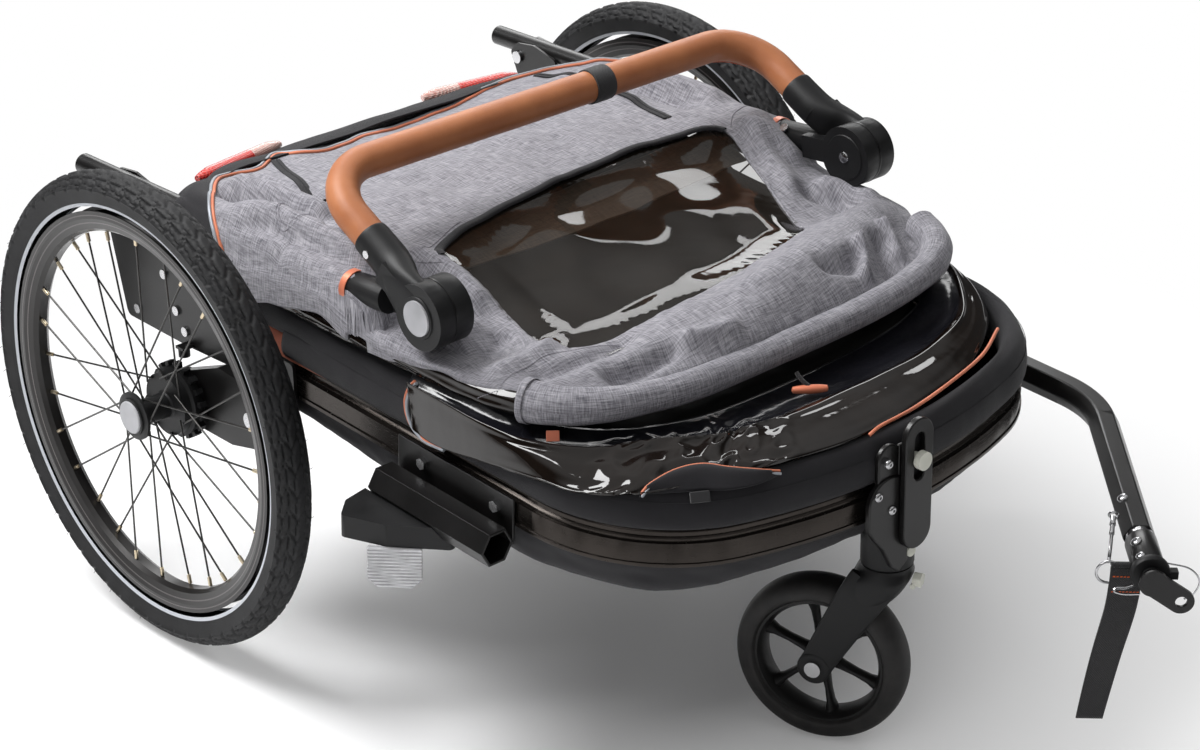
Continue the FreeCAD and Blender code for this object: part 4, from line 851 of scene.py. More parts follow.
def snapped(shape, keep, outline):
    # the cut edge follows the outline instead of the steps of the net
    used = [set(), set()]
    for face, good in zip(shape.faces, keep):
        used[int(good)].update(face)
    rim = np.array(outline)
    for corner in used[0] & used[1]:
        x, y, z = shape.points[corner]
        nearest = rim[np.argmin(np.hypot(rim[:, 0] - x, rim[:, 1] - y))]
        shape.points[corner] = (float(nearest[0]), float(nearest[1]), z)


def makeCanopy():
    net = canopyNet() + [list(row) for row in frontRows]
    fine = softNet(net, 210, 190)
    fine = creased(fine, canopyFolds)
    fine = ruffled(fine, 4.2, 64, 3.0, (1, 0.7, 1))
    fine = ruffled(fine, 1.7, 27, 9.0, (1, 1, 1))
    fine = overTube(fine)
    rows, columns = fine.shape[:2]
    back, front = windowOutline()
    outline = [tuple(p[:2]) for p in evenLine([(x, y, 0) for x, y in back + front], 420, True)]
    shape = Shape()
    shape.sheet(fine)
    keep = []
    line = [point[0] for point in pipingLine], [point[1] for point in pipingLine]
    for index, face in enumerate(shape.faces):
        centre = np.mean([shape.points[corner] for corner in face], 0)
        keep.append(not insideOutline(outline, centre[0], centre[1]))
        shape.marks[index] = int(centre[1] > np.interp(centre[0], *line))
    snapped(shape, keep, outline)
    shape.trim(keep)
    piece = makePiece("canopyCloth", shape, trailer, "roll_frame", ["melange", "blackCloth"],
                      ["canopy"], sharp=80)
    thick(piece, 1.6)
    asCloth(piece)
    return fine, outline


canopyFine, windowLine = makeCanopy()
canopyPlan = canopyFine.reshape(-1, 3)


def clothHeight(x, y, spread=6):
    # height of the cloth over a plan point, taken from its nearest points
    gap = (canopyPlan[:, 0] - x) ** 2 + (canopyPlan[:, 1] - y) ** 2
    near = np.argpartition(gap, spread)[:spread]
    weight = 1 / (gap[near] + 0.5)
    return float((canopyPlan[near, 2] * weight).sum() / weight.sum())


def laidLine(points, steps, lift=0.0):
    line = evenLine([(x, y, 0) for x, y in points], steps)
    return [(x, y, clothHeight(x, y) + lift) for x, y, z in line]


windowLook = {"binding": 8.5, "wave": 9.0, "sag": 5.0}


def makeWindow():
    outline = windowLine
    low, high = np.min(outline, 0) - 18, np.max(outline, 0) + 6
    columns, rows = 130, 78
    net = np.zeros((rows, columns, 3))
    outline = outline[::4]
    rim = np.array(outline)
    rimHeights = np.array([clothHeight(x, y) for x, y in outline])
    for row in range(rows):
        for column in range(columns):
            x = low[0] + (high[0] - low[0]) * column / (columns - 1)
            y = low[1] + (high[1] - low[1]) * row / (rows - 1)
            gap = np.hypot(rim[:, 0] - x, rim[:, 1] - y)
            weight = 1 / (gap + 4) ** 2.2
            base = (rimHeights * weight).sum() / weight.sum()
            inset = min(gap.min() / 40, 1)
            lean = x * 0.75 - y * 0.66
            wave = noise.noise(Vector((lean / 74, (x + y) / 150, 4.2))) * windowLook["wave"]
            wave += noise.noise(Vector((lean / 44, (x + y) / 90, 1.2))) * 1.2
            under = 4.5 * min(max((-385 - y) / 75, 0), 1) ** 1.5
            net[row, column] = (x, y, base + (wave - windowLook["sag"]) * inset - 1.2 - under)
    shape = Shape()
    shape.sheet(net)
    grown = [(x * 1.012, y + (y + 330) * (0.012 if y > -420 else 0.11)) for x, y in outline]
    keep = [insideOutline(grown, *np.mean([shape.points[c] for c in face], 0)[:2]) for face in shape.faces]
    shape.trim(keep)
    pane = makePiece("windowPane", shape, trailer, "roll_frame", "windowFilm", ["canopy_window"],
                     sharp=80)
    rounded(pane)
    asCloth(pane)
    back = [(-202, -278)] + windowOutline()[0] + [(214, -238)]
    line = laidLine(back, 90, 1.4)
    binding = Shape()
    rows = []
    for index, point in enumerate(line):
        before, after = Vector(line[max(index - 1, 0)]), Vector(line[min(index + 1, len(line) - 1)])
        ahead = (after - before).normalized()
        across = ahead.cross(Vector((0, 0, 1))).normalized()
        centre = Vector(point)
        row = []
        for share, rise in ((-1, -1.6), (-0.85, 0.6), (-0.3, 1.5), (0.3, 1.2), (0.8, 0.5), (1, -1.6)):
            row.append(centre + across * share * windowLook["binding"] / 2 * 1.15 + Vector((0, 0, rise)))
        rows.append(row)
    binding.sheet(rows)
    makePiece("windowBinding", binding, trailer, "roll_frame", "blackCloth", sharp=80)
    seam = Shape()
    seam.tube(laidLine([(216, -238), (198, -305), (177, -358), (155, -408)], 40, 0.2), 1.2, 8)
    makePiece("windowSeamFar", seam, trailer, "roll_frame", "melange")


makeWindow()
print("canopy and window made")


# rolled front hem of the canopy
hemLine = ((-270, -469, 391), (-262, -489, 391), (-247, -508, 390), (-222, -524, 389), (-192, -535, 388),
           (-155, -543, 387), (-118, -546, 386), (-70, -547, 386), (-28, -546, 386), (58, -546, 387),
           (115, -543, 388), (160, -538, 390), (209, -526, 392), (238, -510, 394), (256, -489, 397),
           (264, -466, 401))
hemLook = {"high": 14.5, "wide": 14.5, "edge": 21.2, "stitchAngles": (-2.55, -0.6)}


def hemSwell(share):
    # thicker toward both ends, where the roll is not pressed by the fold above it
    near, far = max(0, 1 - share / 0.22), max(0, (share - 0.8) / 0.2)
    return 1 + 0.36 * near ** 1.3 + 0.22 * far


def rollRows(line, steps, section, around=28):
    points = evenLine(line, steps)
    rows = []
    for index in range(len(points)):
        before, after = points[max(index - 1, 0)], points[min(index + 1, len(points) - 1)]
        ahead = Vector((after[0] - before[0], after[1] - before[1], 0)).normalized()
        across = Vector((ahead.y, -ahead.x, 0))
        share = index / (len(points) - 1)
        row = []
        for k in range(around):
            angle = 2 * pi * k / around
            a, b = section(share, angle)
            row.append(Vector(points[index]) + across * a + Vector((0, 0, b)))
        rows.append(row)
    return rows


def makeHem():
    def section(share, angle):
        swell = 1 + 0.045 * noise.noise(Vector((share * 9, 2 * cos(angle), 2 * sin(angle) + 4)))
        swell += 0.03 * noise.noise(Vector((share * 26, 3 * cos(angle), 3 * sin(angle))))
        end = hemSwell(share)
        return (hemLook["wide"] * swell * cos(angle) * end, hemLook["high"] * swell * sin(angle) * end)

    shape = Shape()
    shape.sheet(rollRows(hemLine, 200, section, 40), aroundColumns=True, caps=True)
    makePiece("hemRoll", shape, trailer, "roll_frame", "melange", ["canopy_hem"], sharp=80)
    seam = Shape()
    for angle in hemLook["stitchAngles"]:
        rows = rollRows(hemLine, 200, lambda share, turn: (
            (hemLook["wide"] * hemSwell(share) + 0.4) * cos(angle),
            (hemLook["high"] * hemSwell(share) + 0.4) * sin(angle)), 4)
        line = [row[0] for row in rows]
        for index in range(2, len(line) - 3):
            start, end = line[index], line[index].lerp(line[index + 1], 0.6)
            seam.tube([start, end], 0.35, 5)
    makePiece("hemStitches", seam, trailer, "roll_frame", "greyThread")
    cuff = Shape()
    rows = []
    for share in (0.0, 0.004, 0.010, 0.014):
        ring = rollRows(hemLine, 400, lambda s,
                        angle: (hemLook["edge"] * cos(angle), hemLook["edge"] * sin(angle)), 40)
        rows.append(ring[int(share * 400)])
    cuff.sheet(rows, aroundColumns=True)
    thick(makePiece("hemEdge", cuff, trailer, "roll_frame", "melange", sharp=80), 0.8)


finishes["greyThread"] = moulded("greyThread", (0.22, 0.21, 0.24), 0.7).material
makeHem()


# piping, zip strips and sewn patches on the canopy
def makeTrims():
    heights = laidLine(pipingLine, 200, 1.2)
    heights[0] = (heights[0][0], heights[0][1], 402)
    silver, copper = Shape(), Shape()
    silver.tube([(x * 1.006, y + 3.0, z + 0.4) for x, y, z in heights], 1.9, 10)
    copper.tube([(x, y - 0.6, z + 0.2) for x, y, z in heights], 1.7, 10)
    makePiece("rearPipingSilver", silver, trailer, "roll_frame", "silverPiping")
    makePiece("rearPipingCopper", copper, trailer, "roll_frame", "copperPiping")
    for name, points in (("zipStripNear", [(-158, 40), (-175, -4), (-194, -56), (-213, -110)]),
                         ("zipStripFar", [(196, 36), (206, -10), (205, -90), (192, -176)])):
        line = laidLine(points, 60, 0.8)
        strip = Shape()
        rows = []
        for index, point in enumerate(line):
            ahead = (Vector(line[min(index + 1, len(line) - 1)]) - Vector(line[max(index - 1,
                                                                                   0)])).normalized()
            across = ahead.cross(Vector((0, 0, 1))).normalized()
            rows.append([Vector(point) + across * a + Vector((0, 0, b)) for a, b in
                         ((-5, -1), (-4.8, 0.7), (-1.2, 0.9), (-0.6, 0.2), (0.6, 0.2), (1.2, 0.9), (4.8, 0.7),
                          (5, -1))])
        strip.sheet(rows)
        makePiece(name, strip, trailer, "roll_frame", "blackCloth", sharp=40)
    patch = Shape()
    for radius in (19, 16.5):
        ring = [(-262 + radius * cos(2 * pi * k / 90), -132 + radius * 1.1 * sin(2 * pi * k / 90))
                for k in range(90)]
        points = [Vector((x, y, clothHeight(x, y) + 0.5)) for x, y in ring]
        for k in range(90):
            patch.tube([points[k], points[k].lerp(points[(k + 1) % 90], 0.62)], 0.42, 5)
    makePiece("patchStitches", patch, trailer, "roll_frame", "greyThread")
    seams = Shape()
    for points in (((-306, -446), (-255, -448), (-216, -450), (-150, -470)),
                   ((-215, -262), (-190, -250), (-140, -232)),
                   ((-208, -286), (-230, -262), (-262, -236)), ((225, -236), (250, -216), (280, -206))):
        line = [Vector(p) for p in laidLine(points, 60, 0.3)]
        for k in range(59):
            seams.tube([line[k], line[k].lerp(line[k + 1], 0.62)], 0.4, 5)
    makePiece("canopySeams", seams, trailer, "roll_frame", "greyThread")


makeTrims()
print("canopy trims made")

# handle: leather grip, wrist band and joint trims
gripSizes = {"half": 283, "reach": 184.4, "corner": 57, "start": 101, "radius": 16.4, "bandX": 70}


def gripLine(steps=40):
    s = gripSizes
    start = s["start"]
    points = [(-s["half"], start + (s["reach"] - s["corner"] - start) * k / 6, 0) for k in range(6)]
    for k in range(steps + 1):
        angle = pi / 2 * k / steps
        points.append((-s["half"] + s["corner"] * (1 - cos(angle)),
                       s["reach"] - s["corner"] * (1 - sin(angle)), 0))
    middle = [(-s["half"] + s["corner"] + (s["half"] - s["corner"]) * 2 * k / 40, s["reach"], 0)
              for k in range(1, 40)]
    return points + middle + [(-x, y, z) for x, y, z in reversed(points)]


def makeGrip():
    line = gripLine()
    shape = Shape()
    shape.tube(line, lambda share: gripSizes["radius"] + 0.16 * noise.noise(Vector((share * 60, 0.3, 2))), 48)
    makePiece("gripSleeve", shape, handlePlace, "handle", "gripLeather", ["push_bar_grip"])
    seam = Shape()
    under = [Vector((x * 0.985, y - 9, -14.2)) for x, y, z in line[8:-8]]
    for index in range(len(under) - 1):
        run = under[index + 1] - under[index]
        pieces = max(1, int(run.length / 4))
        for k in range(pieces):
            seam.tube([under[index] + run * (k / pieces), under[index] + run * ((k + 0.6) / pieces)], 0.45, 5)
    makePiece("gripStitches", seam, handlePlace, "handle", "orangeThread")
    band = Shape()
    rows = []
    for share, bulge in ((-1, 16.2), (-0.98, 18.0), (-0.6, 18.3), (0, 18.2), (0.6, 18.3), (0.98, 18.0),
                         (1, 16.2)):
        rows.append([(gripSizes["bandX"] + 12.5 * share, gripSizes["reach"] + bulge * cos(2 * pi * k / 48),
                      bulge * sin(2 * pi * k / 48)) for k in range(48)])
    band.sheet(rows, aroundColumns=True)
    makePiece("wristBand", band, handlePlace, "handle", "webbing", ["wrist_band"])
    tail = Shape()
    rows = []
    for step in range(13):
        share = step / 12
        angle = -0.6 - 1.5 * share
        radius = 18.9 + 2.2 * sin(pi * share)
        row = []
        for x in (-9, -8, 0, 8, 9):
            row.append((gripSizes["bandX"] + x, gripSizes["reach"] + radius * cos(angle),
                        radius * sin(angle)))
        rows.append(row)
    tail.sheet(rows)
    thick(makePiece("wristTail", tail, handlePlace, "handle", "webbing"), 1.4)
    for word, side in sides.items():
        seat = Shape()
        seat.lathe([(side * 303.1, 20.8), (side * 304.3, 20.3), (side * 304.3, 17.6), (side * 303.1, 17.2)],
                   64)
        makePiece("buttonSeat_" + word, seat, handlePlace, "handle", "blackPlastic")
        disc = Shape()
        disc.lathe([(side * 262.9, 24), (side * 261.8, 23.2), (side * 261.8, 8), (side * 262.5, 0.1)], 64)
        makePiece("innerDisc_" + word, disc, handlePlace, "handle", "blackPlastic")
        pip = Shape()
        pip.lathe([(side * 261.8, 6), (side * 260.6, 5.4), (side * 260.0, 3.0), (side * 259.9, 0.1)], 32)
        makePiece("innerPin_" + word, pip, handlePlace, "handle", "steel")
    screws = Shape()
    for flip in (1, -1):
        screws.tube([(flip * 273, -268, 451.5), (flip * 271, -268, 453.8)], 4.6, 20)
    makePiece("baseScrews", screws, trailer, "roll_frame", "steel")


makeGrip()
print("handle made")


# padded band, rust panel and flap over the rail
def railPlan(inset, startY):
    # the rail's plan line moved inward, right side to left side, in the pitched frame
    half, cornerY, cornerR, frontY, frontR = 296 - inset, -498.8, 165 - inset, -84, 600 - inset
    centre = Vector((-131, cornerY))
    points = [(-half, startY + (cornerY - startY) * k / 12) for k in range(12)]
    away = (centre - Vector((0, frontY))).normalized()
    endAngle = atan2(away.y, away.x)
    first, last = pi, endAngle + (2 * pi if endAngle < 0 else 0)
    for k in range(17):
        angle = first + (last - first) * k / 16
        points.append((centre.x + cornerR * cos(angle), centre.y + cornerR * sin(angle)))
    middle = -pi / 2
    for k in range(1, 17):
        angle = endAngle + (middle - endAngle) * k / 16
        points.append((frontR * cos(angle), frontY + frontR * sin(angle)))
    return points + [(-x, y) for x, y in reversed(points[:-1])]


bandLook = {"start": -132, "seam": 371.2}
bandSection = ((4, 341.5), (12, 340.9), (22, 342), (27, 352), (27.5, 366), (25.5, 378), (20.5, 384.5),
               (14, 386),
               (8, 382.5), (3, 375), (-0.6, 366), (-1.9, 357), (-1.5, 349), (0.6, 344))


def makeBand():
    plans = {}
    for inset, z in bandSection:
        plans[inset] = evenLine([(x, y, 0) for x, y in railPlan(inset, bandLook["start"])], 240)
    rows = []
    for step in range(241):
        row = []
        share = step / 240
        for inset, z in bandSection:
            x, y = plans[inset][step][:2]
            puff = noise.noise(Vector((share * 34, inset * 0.12, z * 0.05))) * 1.1
            puff += 0.5 * noise.noise(Vector((share * 110, inset * 0.2, z * 0.08)))
            outward = Vector((x, y + 330, 0)).normalized()
            face = 1 if inset < 4 else 0.3
            row.append(Vector((x, y, z)) + outward * puff * face + Vector((0, 0, puff * 0.5)))
        rows.append(row)
    shape = Shape()
    shape.sheet(rows, aroundColumns=True, caps=True)
    piece = makePiece("bumperPad", shape, pitched, "chassis", "blackCloth", ["bumper_band"],
                      sharp=80)
    rounded(piece)
    stitches = Shape()
    line = evenLine([(x, y, 0) for x, y in railPlan(1.0, bandLook["start"])], 620)
    for step in range(619):
        a, b = Vector(line[step]), Vector(line[step + 1])
        a.z = b.z = bandLook["seam"]
        stitches.tube([a, a.lerp(b, 0.6)], 0.4, 4)
    makePiece("bandStitches", stitches, pitched, "chassis", "blackThread")


def makeSidePanels():
    for word, side in sides.items():
        panel = Shape()
        top = [(66, 398), (20, 392), (-40, 384), (-100, 377), (-160, 368), (-220, 358), (-292, 344.5)]
        low = [(66, 342), (20, 342), (-40, 342), (-100, 342), (-160, 342), (-220, 342), (-292, 342)]
        net = []
        for share, bulge in ((0, -4), (0.34, 0.5), (0.40, -1.5), (0.46, 1.0), (0.8, 5.5), (1, 7.5)):
            net.append([(side * (288 + bulge * min(max((a[0] + 240) / 50, 0), 1)), a[0],
                         a[1] + (b[1] - a[1]) * share)
                        for a, b in zip(top, low)])
        fine = softNet(net, 40, 90)
        for row in fine:
            for point in row:
                point[0] += side * 1.2 * noise.noise(Vector((point[1] / 28, point[2] / 12, 2)))
        panel.sheet(fine)
        piece = makePiece("rustPanel_" + word, panel, pitched, "chassis", "rustCloth",
                          ["cabin_sides"], sharp=80)
        thick(piece, 1.4)
        asCloth(piece)
        flap = Shape()
        top = [(20, 396), (-40, 394), (-100, 392), (-150, 391), (-184, 390), (-222, 389), (-290, 390),
               (-332, 392)]
        low = [(20, 372), (-40, 369), (-100, 364), (-146, 365), (-172, 360), (-206, 346), (-290, 342),
               (-340, 345)]
        net = []
        for share, bulge in ((0, 282.0), (0.12, 289.0), (0.5, 294.0), (0.85, 295.0), (1, 292.4)):
            net.append([(side * bulge, a[0], a[1] + (b[1] - a[1]) * share) for a, b in zip(top, low)])
        fine = softNet(net, 36, 110)
        for row in fine:
            for point in row:
                point[0] += side * 2.4 * noise.noise(Vector((point[1] / 46, point[2] / 22, 5)))
        flap.sheet(fine)
        piece = makePiece("sideFlap_" + word, flap, pitched, "chassis", "blackCloth",
                          sharp=80)
        thick(piece, 1.6)
        asCloth(piece)
        silver, copper = Shape(), Shape()
        edge = [(-340, 396), (-332, 385), (-328, 373), (-330, 361), (-337, 351), (-348, 346), (-360, 344),
                (-386, 347)]
        line = evenLine([(side * (297 + 0.8 * k), y, z) for k, (y, z) in enumerate(edge)], 50)
        silver.tube(line, 1.8, 10)
        copper.tube([(x - side * 0.4, y + 3.0, z + 1.2) for x, y, z in line], 1.5, 10)
        makePiece("flapPipingSilver_" + word, silver, pitched, "chassis", "silverPiping")
        makePiece("flapPipingCopper_" + word, copper, pitched, "chassis", "copperPiping")


makeBand()
makeSidePanels()


# tub of black cloth under the rail
tubRing = ((-281, 60, 293), (-283, -146, 281), (-283, -264, 270), (-281, -440, 262), (-254, -547, 259),
           (-211, -603, 259), (-117, -634, 260), (0, -645, 261), (117, -634, 260), (211, -603, 259),
           (254, -547, 259), (281, -440, 262), (283, -264, 270), (283, -146, 281), (281, 60, 293))


def makeTub():
    low = evenLine(tubRing, 220)
    top = evenLine([(x * 1.005, y, 306.5) for x, y in railPlan(9, 60)], 220)
    net = []
    for share, inset, level in ((0, 0, 0), (0.3, -1.5, 0), (0.62, -3, 0), (0.86, -1, 0), (0.97, 4, 0),
                                (1.0, 12, 0.8),
                                (1.0, 34, 1.5), (1.0, 80, 2), (1.0, 150, 2), (1.0, 236, 2)):
        row = []
        for a, b in zip(top, low):
            point = np.array(a) + (np.array(b) - np.array(a)) * share
            inward = np.array([0 - point[0], -290 - point[1] if point[1] < -290 else 0, 0])
            length = max(np.linalg.norm(inward), 1)
            point = point + inward / length * min(inset, length)
            point[2] += level
            row.append(point)
        net.append(row)
    net = np.array(net)
    fine = np.stack([smoothLine(net[:, column], 54) for column in range(net.shape[1])], 1)
    for index, row in enumerate(fine):
        share = index / 54
        fade = sin(min(share * 1.7, 1) * pi) if share < 0.6 else 0
        for step, point in enumerate(row):
            outward = Vector((point[0], point[1] + 290 if point[1] < -290 else 0, 0)).normalized()
            wave = 3.2 * noise.noise(Vector((point[0] / 52, point[1] / 52, point[2] / 24)))
            wave += 1.4 * noise.noise(Vector((point[0] / 17 + point[2] / 9, point[1] / 17, 3)))
            point += np.array(outward) * wave * fade
            if share > 0.5:
                point[2] += 1.5 * noise.noise(Vector((point[0] / 60, point[1] / 60, 7)))
    shape = Shape()
    shape.sheet(fine)
    piece = makePiece("tubCloth", shape, pitched, "chassis", "blackCloth", ["floor_tub"],
                      sharp=80)
    thick(piece, 1.8)
    asCloth(piece)


makeTub()
print("band, side cloth and tub made")


# what lies folded inside: black netting, the brown cloth behind the window
def makeCabin():
    rows = ((66, 398, 254), (0, 424, 257), (-100, 424, 258), (-150, 422, 258), (-200, 414, 255),
            (-235, 400, 252),
            (-270, 386, 250), (-330, 384, 250), (-398, 378, 246), (-462, 368, 236), (-505, 356, 214),
            (-530, 348, 190))
    net = []
    for y, high, half in rows:
        row = [(-half, y, 344), (-half * 0.985, y, high - 14), (-half * 0.9, y, high - 2),
               (-half * 0.5, y, high),
               (0, y, high), (half * 0.5, y, high), (half * 0.9, y, high - 2), (half * 0.985, y, high - 14),
               (half, y, 344)]
        net.append(row)
    net.append([(x * 0.99, -536, min(z, 336)) for x, y, z in net[-1]])
    fine = softNet(net, 130, 110)
    fine = ruffled(fine, 4.0, 60, 2.0)
    fine = ruffled(fine, 1.6, 22, 5.0)
    shape = Shape()
    shape.sheet(fine)
    piece = makePiece("foldedNet", shape, trailer, "chassis", "netting", ["folded_cabin"],
                      sharp=80)
    asCloth(piece)
    brown = Shape()
    net = []
    for y, z in ((-190, 437), (-206, 433), (-222, 429), (-238, 425), (-250, 420)):
        net.append([(x, y - 22 * (1 - abs(x) / 240) + x * 0.02, z + 4 * (1 - (x / 240) ** 2)) for x in
                    (-240, -200, -120, -40, 40, 120, 200, 240)])
    fine = ruffled(softNet(net, 40, 90), 2.5, 40, 8.0)
    brown.sheet(fine)
    piece = makePiece("brownLining", brown, trailer, "roll_frame", "brownMelange", sharp=80)
    thick(piece, 1.5)
    asCloth(piece)


makeCabin()

# rear cloth, lights and their lenses
lampPlaces = {"right": ((-106, 112, 432.5), (-211, 95, 432.5)), "left": ((106, 112, 432.5), (211, 95, 432.5))}


def makeRear():
    net = []
    for share, y, z in ((0, 97, 342), (0.3, 99, 370), (0.6, 101, 400), (0.8, 104, 420), (1, 102, 431)):
        net.append([(x, y + (4 if abs(x) < 150 else -abs(abs(x) - 150) * 0.13),
                     z - 8 * (abs(x) / 262) ** 4 * share)
                    for x in (-262, -230, -180, -120, -60, 0, 60, 120, 180, 230, 262)])
    net.append([(x, y - 22, z + 4) for x, y, z in net[-1]])
    net.append([(x, y - 26, z + 6) for x, y, z in net[-1]])
    fine = ruffled(softNet(net, 60, 120), 3.0, 55, 6.0)
    shape = Shape()
    shape.sheet(fine)
    piece = makePiece("rearCloth", shape, trailer, "chassis", "blackCloth", ["rear_panel"],
                      sharp=80)
    thick(piece, 2.0)
    asCloth(piece)
    net = []
    for y, z, half in ((92, 436, 250), (76, 443, 262), (58, 449, 270), (44, 451, 274)):
        net.append([(x * half / 274, y - 34 * max(0, (abs(x) - 190) / 84) ** 1.5,
                     z + 2 - 16 * max(0, (abs(x) - 225) / 49) ** 2) for x in
                    (-274, -262, -240, -200, -130, -60, 0, 60, 130, 200, 240, 262, 274)])
    gusset = Shape()
    fine = ruffled(softNet(net, 30, 140), 3.0, 60, 11.0)
    gusset.sheet(fine)
    piece = makePiece("rearGusset", gusset, trailer, "roll_frame", "blackCloth", sharp=80)
    thick(piece, 1.8)
    asCloth(piece)
    for word, side in sides.items():
        corner = Shape()
        net = []
        for x, top in ((-272, 446), (-284, 442), (-294, 430), (-298, 414), (-299, 398)):
            net.append([(-side * x, y, top + z) for y, z in
                        ((70, -8), (45, -3), (20, 0), (-5, 0), (-30, -4), (-52, -9), (-62, -14))])
        fine = ruffled(softNet(net, 40, 50), 2.5, 30, 4.0)
        corner.sheet(fine)
        piece = makePiece("cornerCloth_" + word, corner, trailer, "roll_frame", "blackCloth",
                          sharp=80)
        thick(piece, 1.6)
        asCloth(piece)
    for word, (first, last) in lampPlaces.items():
        side = sides[word]
        start, end = Vector(first), Vector(last)
        run = (end - start).normalized()
        across = run.cross(Vector((0, 0, 1))).normalized()
        rows = []
        steps = 30
        for k in range(steps + 1):
            share = k / steps
            centre = start - run * 8 + (end - start + run * 16) * share
            size = 8.4 * min(1, (0.18 + 5.5 * min(share, 1 - share)) ** 0.45)
            rows.append([centre + across * (size * cos(2 * pi * j / 24)) + Vector((0, 0, size * 0.92 *
                        sin(2 * pi * j / 24))) for j in range(24)])
        split = 11
        for name, part, look in (("lampClear_", rows[:split + 1], "pinkLens"),
                                 ("lampRed_", rows[split:], "redLens")):
            lens = Shape()
            lens.sheet(part, aroundColumns=True, caps=True)
            makePiece(name + word, lens, trailer, "chassis", look, ["tail_lights"])


makeRear()
print("folded cloth, rear cloth and lights made")


# rain film: glossy rolls round the front and a crinkled fold lying on the pad
filmStations = (
    # outer edge on the pad, ridge and inner edge under the hem, from the near side to the far side
    ((-302, -345, 330), (-300, -337, 373), (-286, -335, 390)),
    ((-304, -385, 327), (-301, -390, 371), (-284, -385, 386)),
    ((-305, -456, 336), (-300, -450, 369), (-278, -440, 380)),
    ((-301, -517, 341), (-291, -492, 367), (-260, -480, 370)),
    ((-293, -563, 341), (-260, -541, 365), (-234, -508, 364)),
    ((-262, -611, 346), (-210, -571, 365), (-200, -533, 361)),
    ((-205, -640, 349), (-164, -600, 364), (-150, -548, 357)),
    ((-163, -655, 350), (-130, -610, 364), (-112, -553, 355)),
    ((-104, -668, 350), (-77, -619, 364), (-60, -556, 355)),
    ((-48, -674, 350), (-31, -621, 364), (-20, -556, 355)),
    ((20, -669, 350), (32, -621, 364), (34, -555, 356)), ((79, -659, 350), (98, -616, 364), (90, -552, 357)),
    ((139, -643, 350), (150, -601, 364), (144, -545, 359)),
    ((200, -610, 350), (196, -581, 365), (192, -530, 363)),
    ((242, -575, 351), (238, -544, 367), (230, -505, 369)),
    ((272, -530, 353), (268, -502, 371), (252, -475, 376)),
    ((284, -480, 357), (282, -452, 375), (268, -430, 382)),
    ((285, -400, 362), (284, -395, 378), (270, -390, 384)),
)
sideLine = ((-289, -100, 391), (-290, -140, 394), (-290, -180, 396), (-289, -252, 393), (-288, -326, 392),
            (-286, -392, 390), (-279, -440, 388), (-268, -474, 386), (-252, -500, 382))


def pleated(net):
    # crinkles across the near front, long pleats elsewhere
    rows, columns = net.shape[:2]
    for row in range(rows):
        run = row / (rows - 1)
        crumple = max(0, 1 - ((run - 0.35) / 0.115) ** 4) if abs(run - 0.35) < 0.115 else 0
        for column in range(columns):
            over = column / (columns - 1)
            lift = 2.0 * noise.noise(Vector((run * 9, over * 4.5, 3.1)))
            lift += 1.0 * noise.noise(Vector((run * 16, over * 14, 6.4)))
            sharp = 1 - 2 * abs(noise.noise(Vector((run * 42 + over * 5, over * 6 - run * 16, 9.7))))
            lift += crumple * (4.6 * sharp - 2.4)
            fade = min(1, over * 8, (1 - over) * 8)
            net[row, column, 2] += lift * fade
            net[row, column, 1] -= lift * fade * 0.4
    return net


def makeFilm():
    net = []
    for outer, ridge, inner in filmStations:
        outer, ridge, inner = Vector(outer), Vector(ridge), Vector(inner)
        up = Vector((0, 0, 1))
        net.append([inner, inner.lerp(ridge, 0.45) - up * 5, inner.lerp(ridge, 0.82) - up * 3,
                    ridge + up * 0.5, ridge.lerp(outer, 0.22) + up * 1.0, ridge.lerp(outer, 0.6) + up * 3.5,
                    ridge.lerp(outer, 0.9) + up * 1.5, outer, outer.lerp(ridge, 0.08) - up * 5])
    fine = pleated(softNet(net, 430, 64))
    shape = Shape()
    shape.sheet(fine)
    columns = fine.shape[1]
    for index, face in enumerate(shape.faces):
        shape.marks[index] = 1 if face[0] % columns < columns * 0.29 else 0
    piece = makePiece("filmFold", shape, trailer, "chassis", ["film", "darkFilm"], ["rain_film"],
                      sharp=80)
    thick(piece, 0.9)
    asCloth(piece)

    def side(share, angle):
        pleat = 0.5 * sin(angle * 7 + share * 5)
        pleat += noise.noise(Vector((share * 14, 1.4 * cos(angle), 1.4 * sin(angle)))) * 1.4
        taper = min(1, 0.55 + share * 2.2)
        return (11.0 * taper + pleat) * cos(angle), (11.5 * taper + pleat) * sin(angle)

    shape = Shape()
    shape.sheet(rollRows(sideLine, 220, side, 48), aroundColumns=True, caps=True)
    makePiece("filmSideRoll", shape, trailer, "chassis", "film", sharp=80)


finishes["darkFilm"] = glossy("darkFilm", (0.0055, 0.0055, 0.0075), 0.14, 0.0004, 90).material
makeFilm()
print("film made")


# hitch: safety strap, snap hook, ring and wires
def ribbon(line, widths, across):
    rows = []
    for index, point in enumerate(line):
        wide = widths[index] / 2
        rows.append([Vector(point) + Vector(across) * share * wide
                     for share in (-1, -0.92, -0.4, 0, 0.4, 0.92, 1)])
    return rows


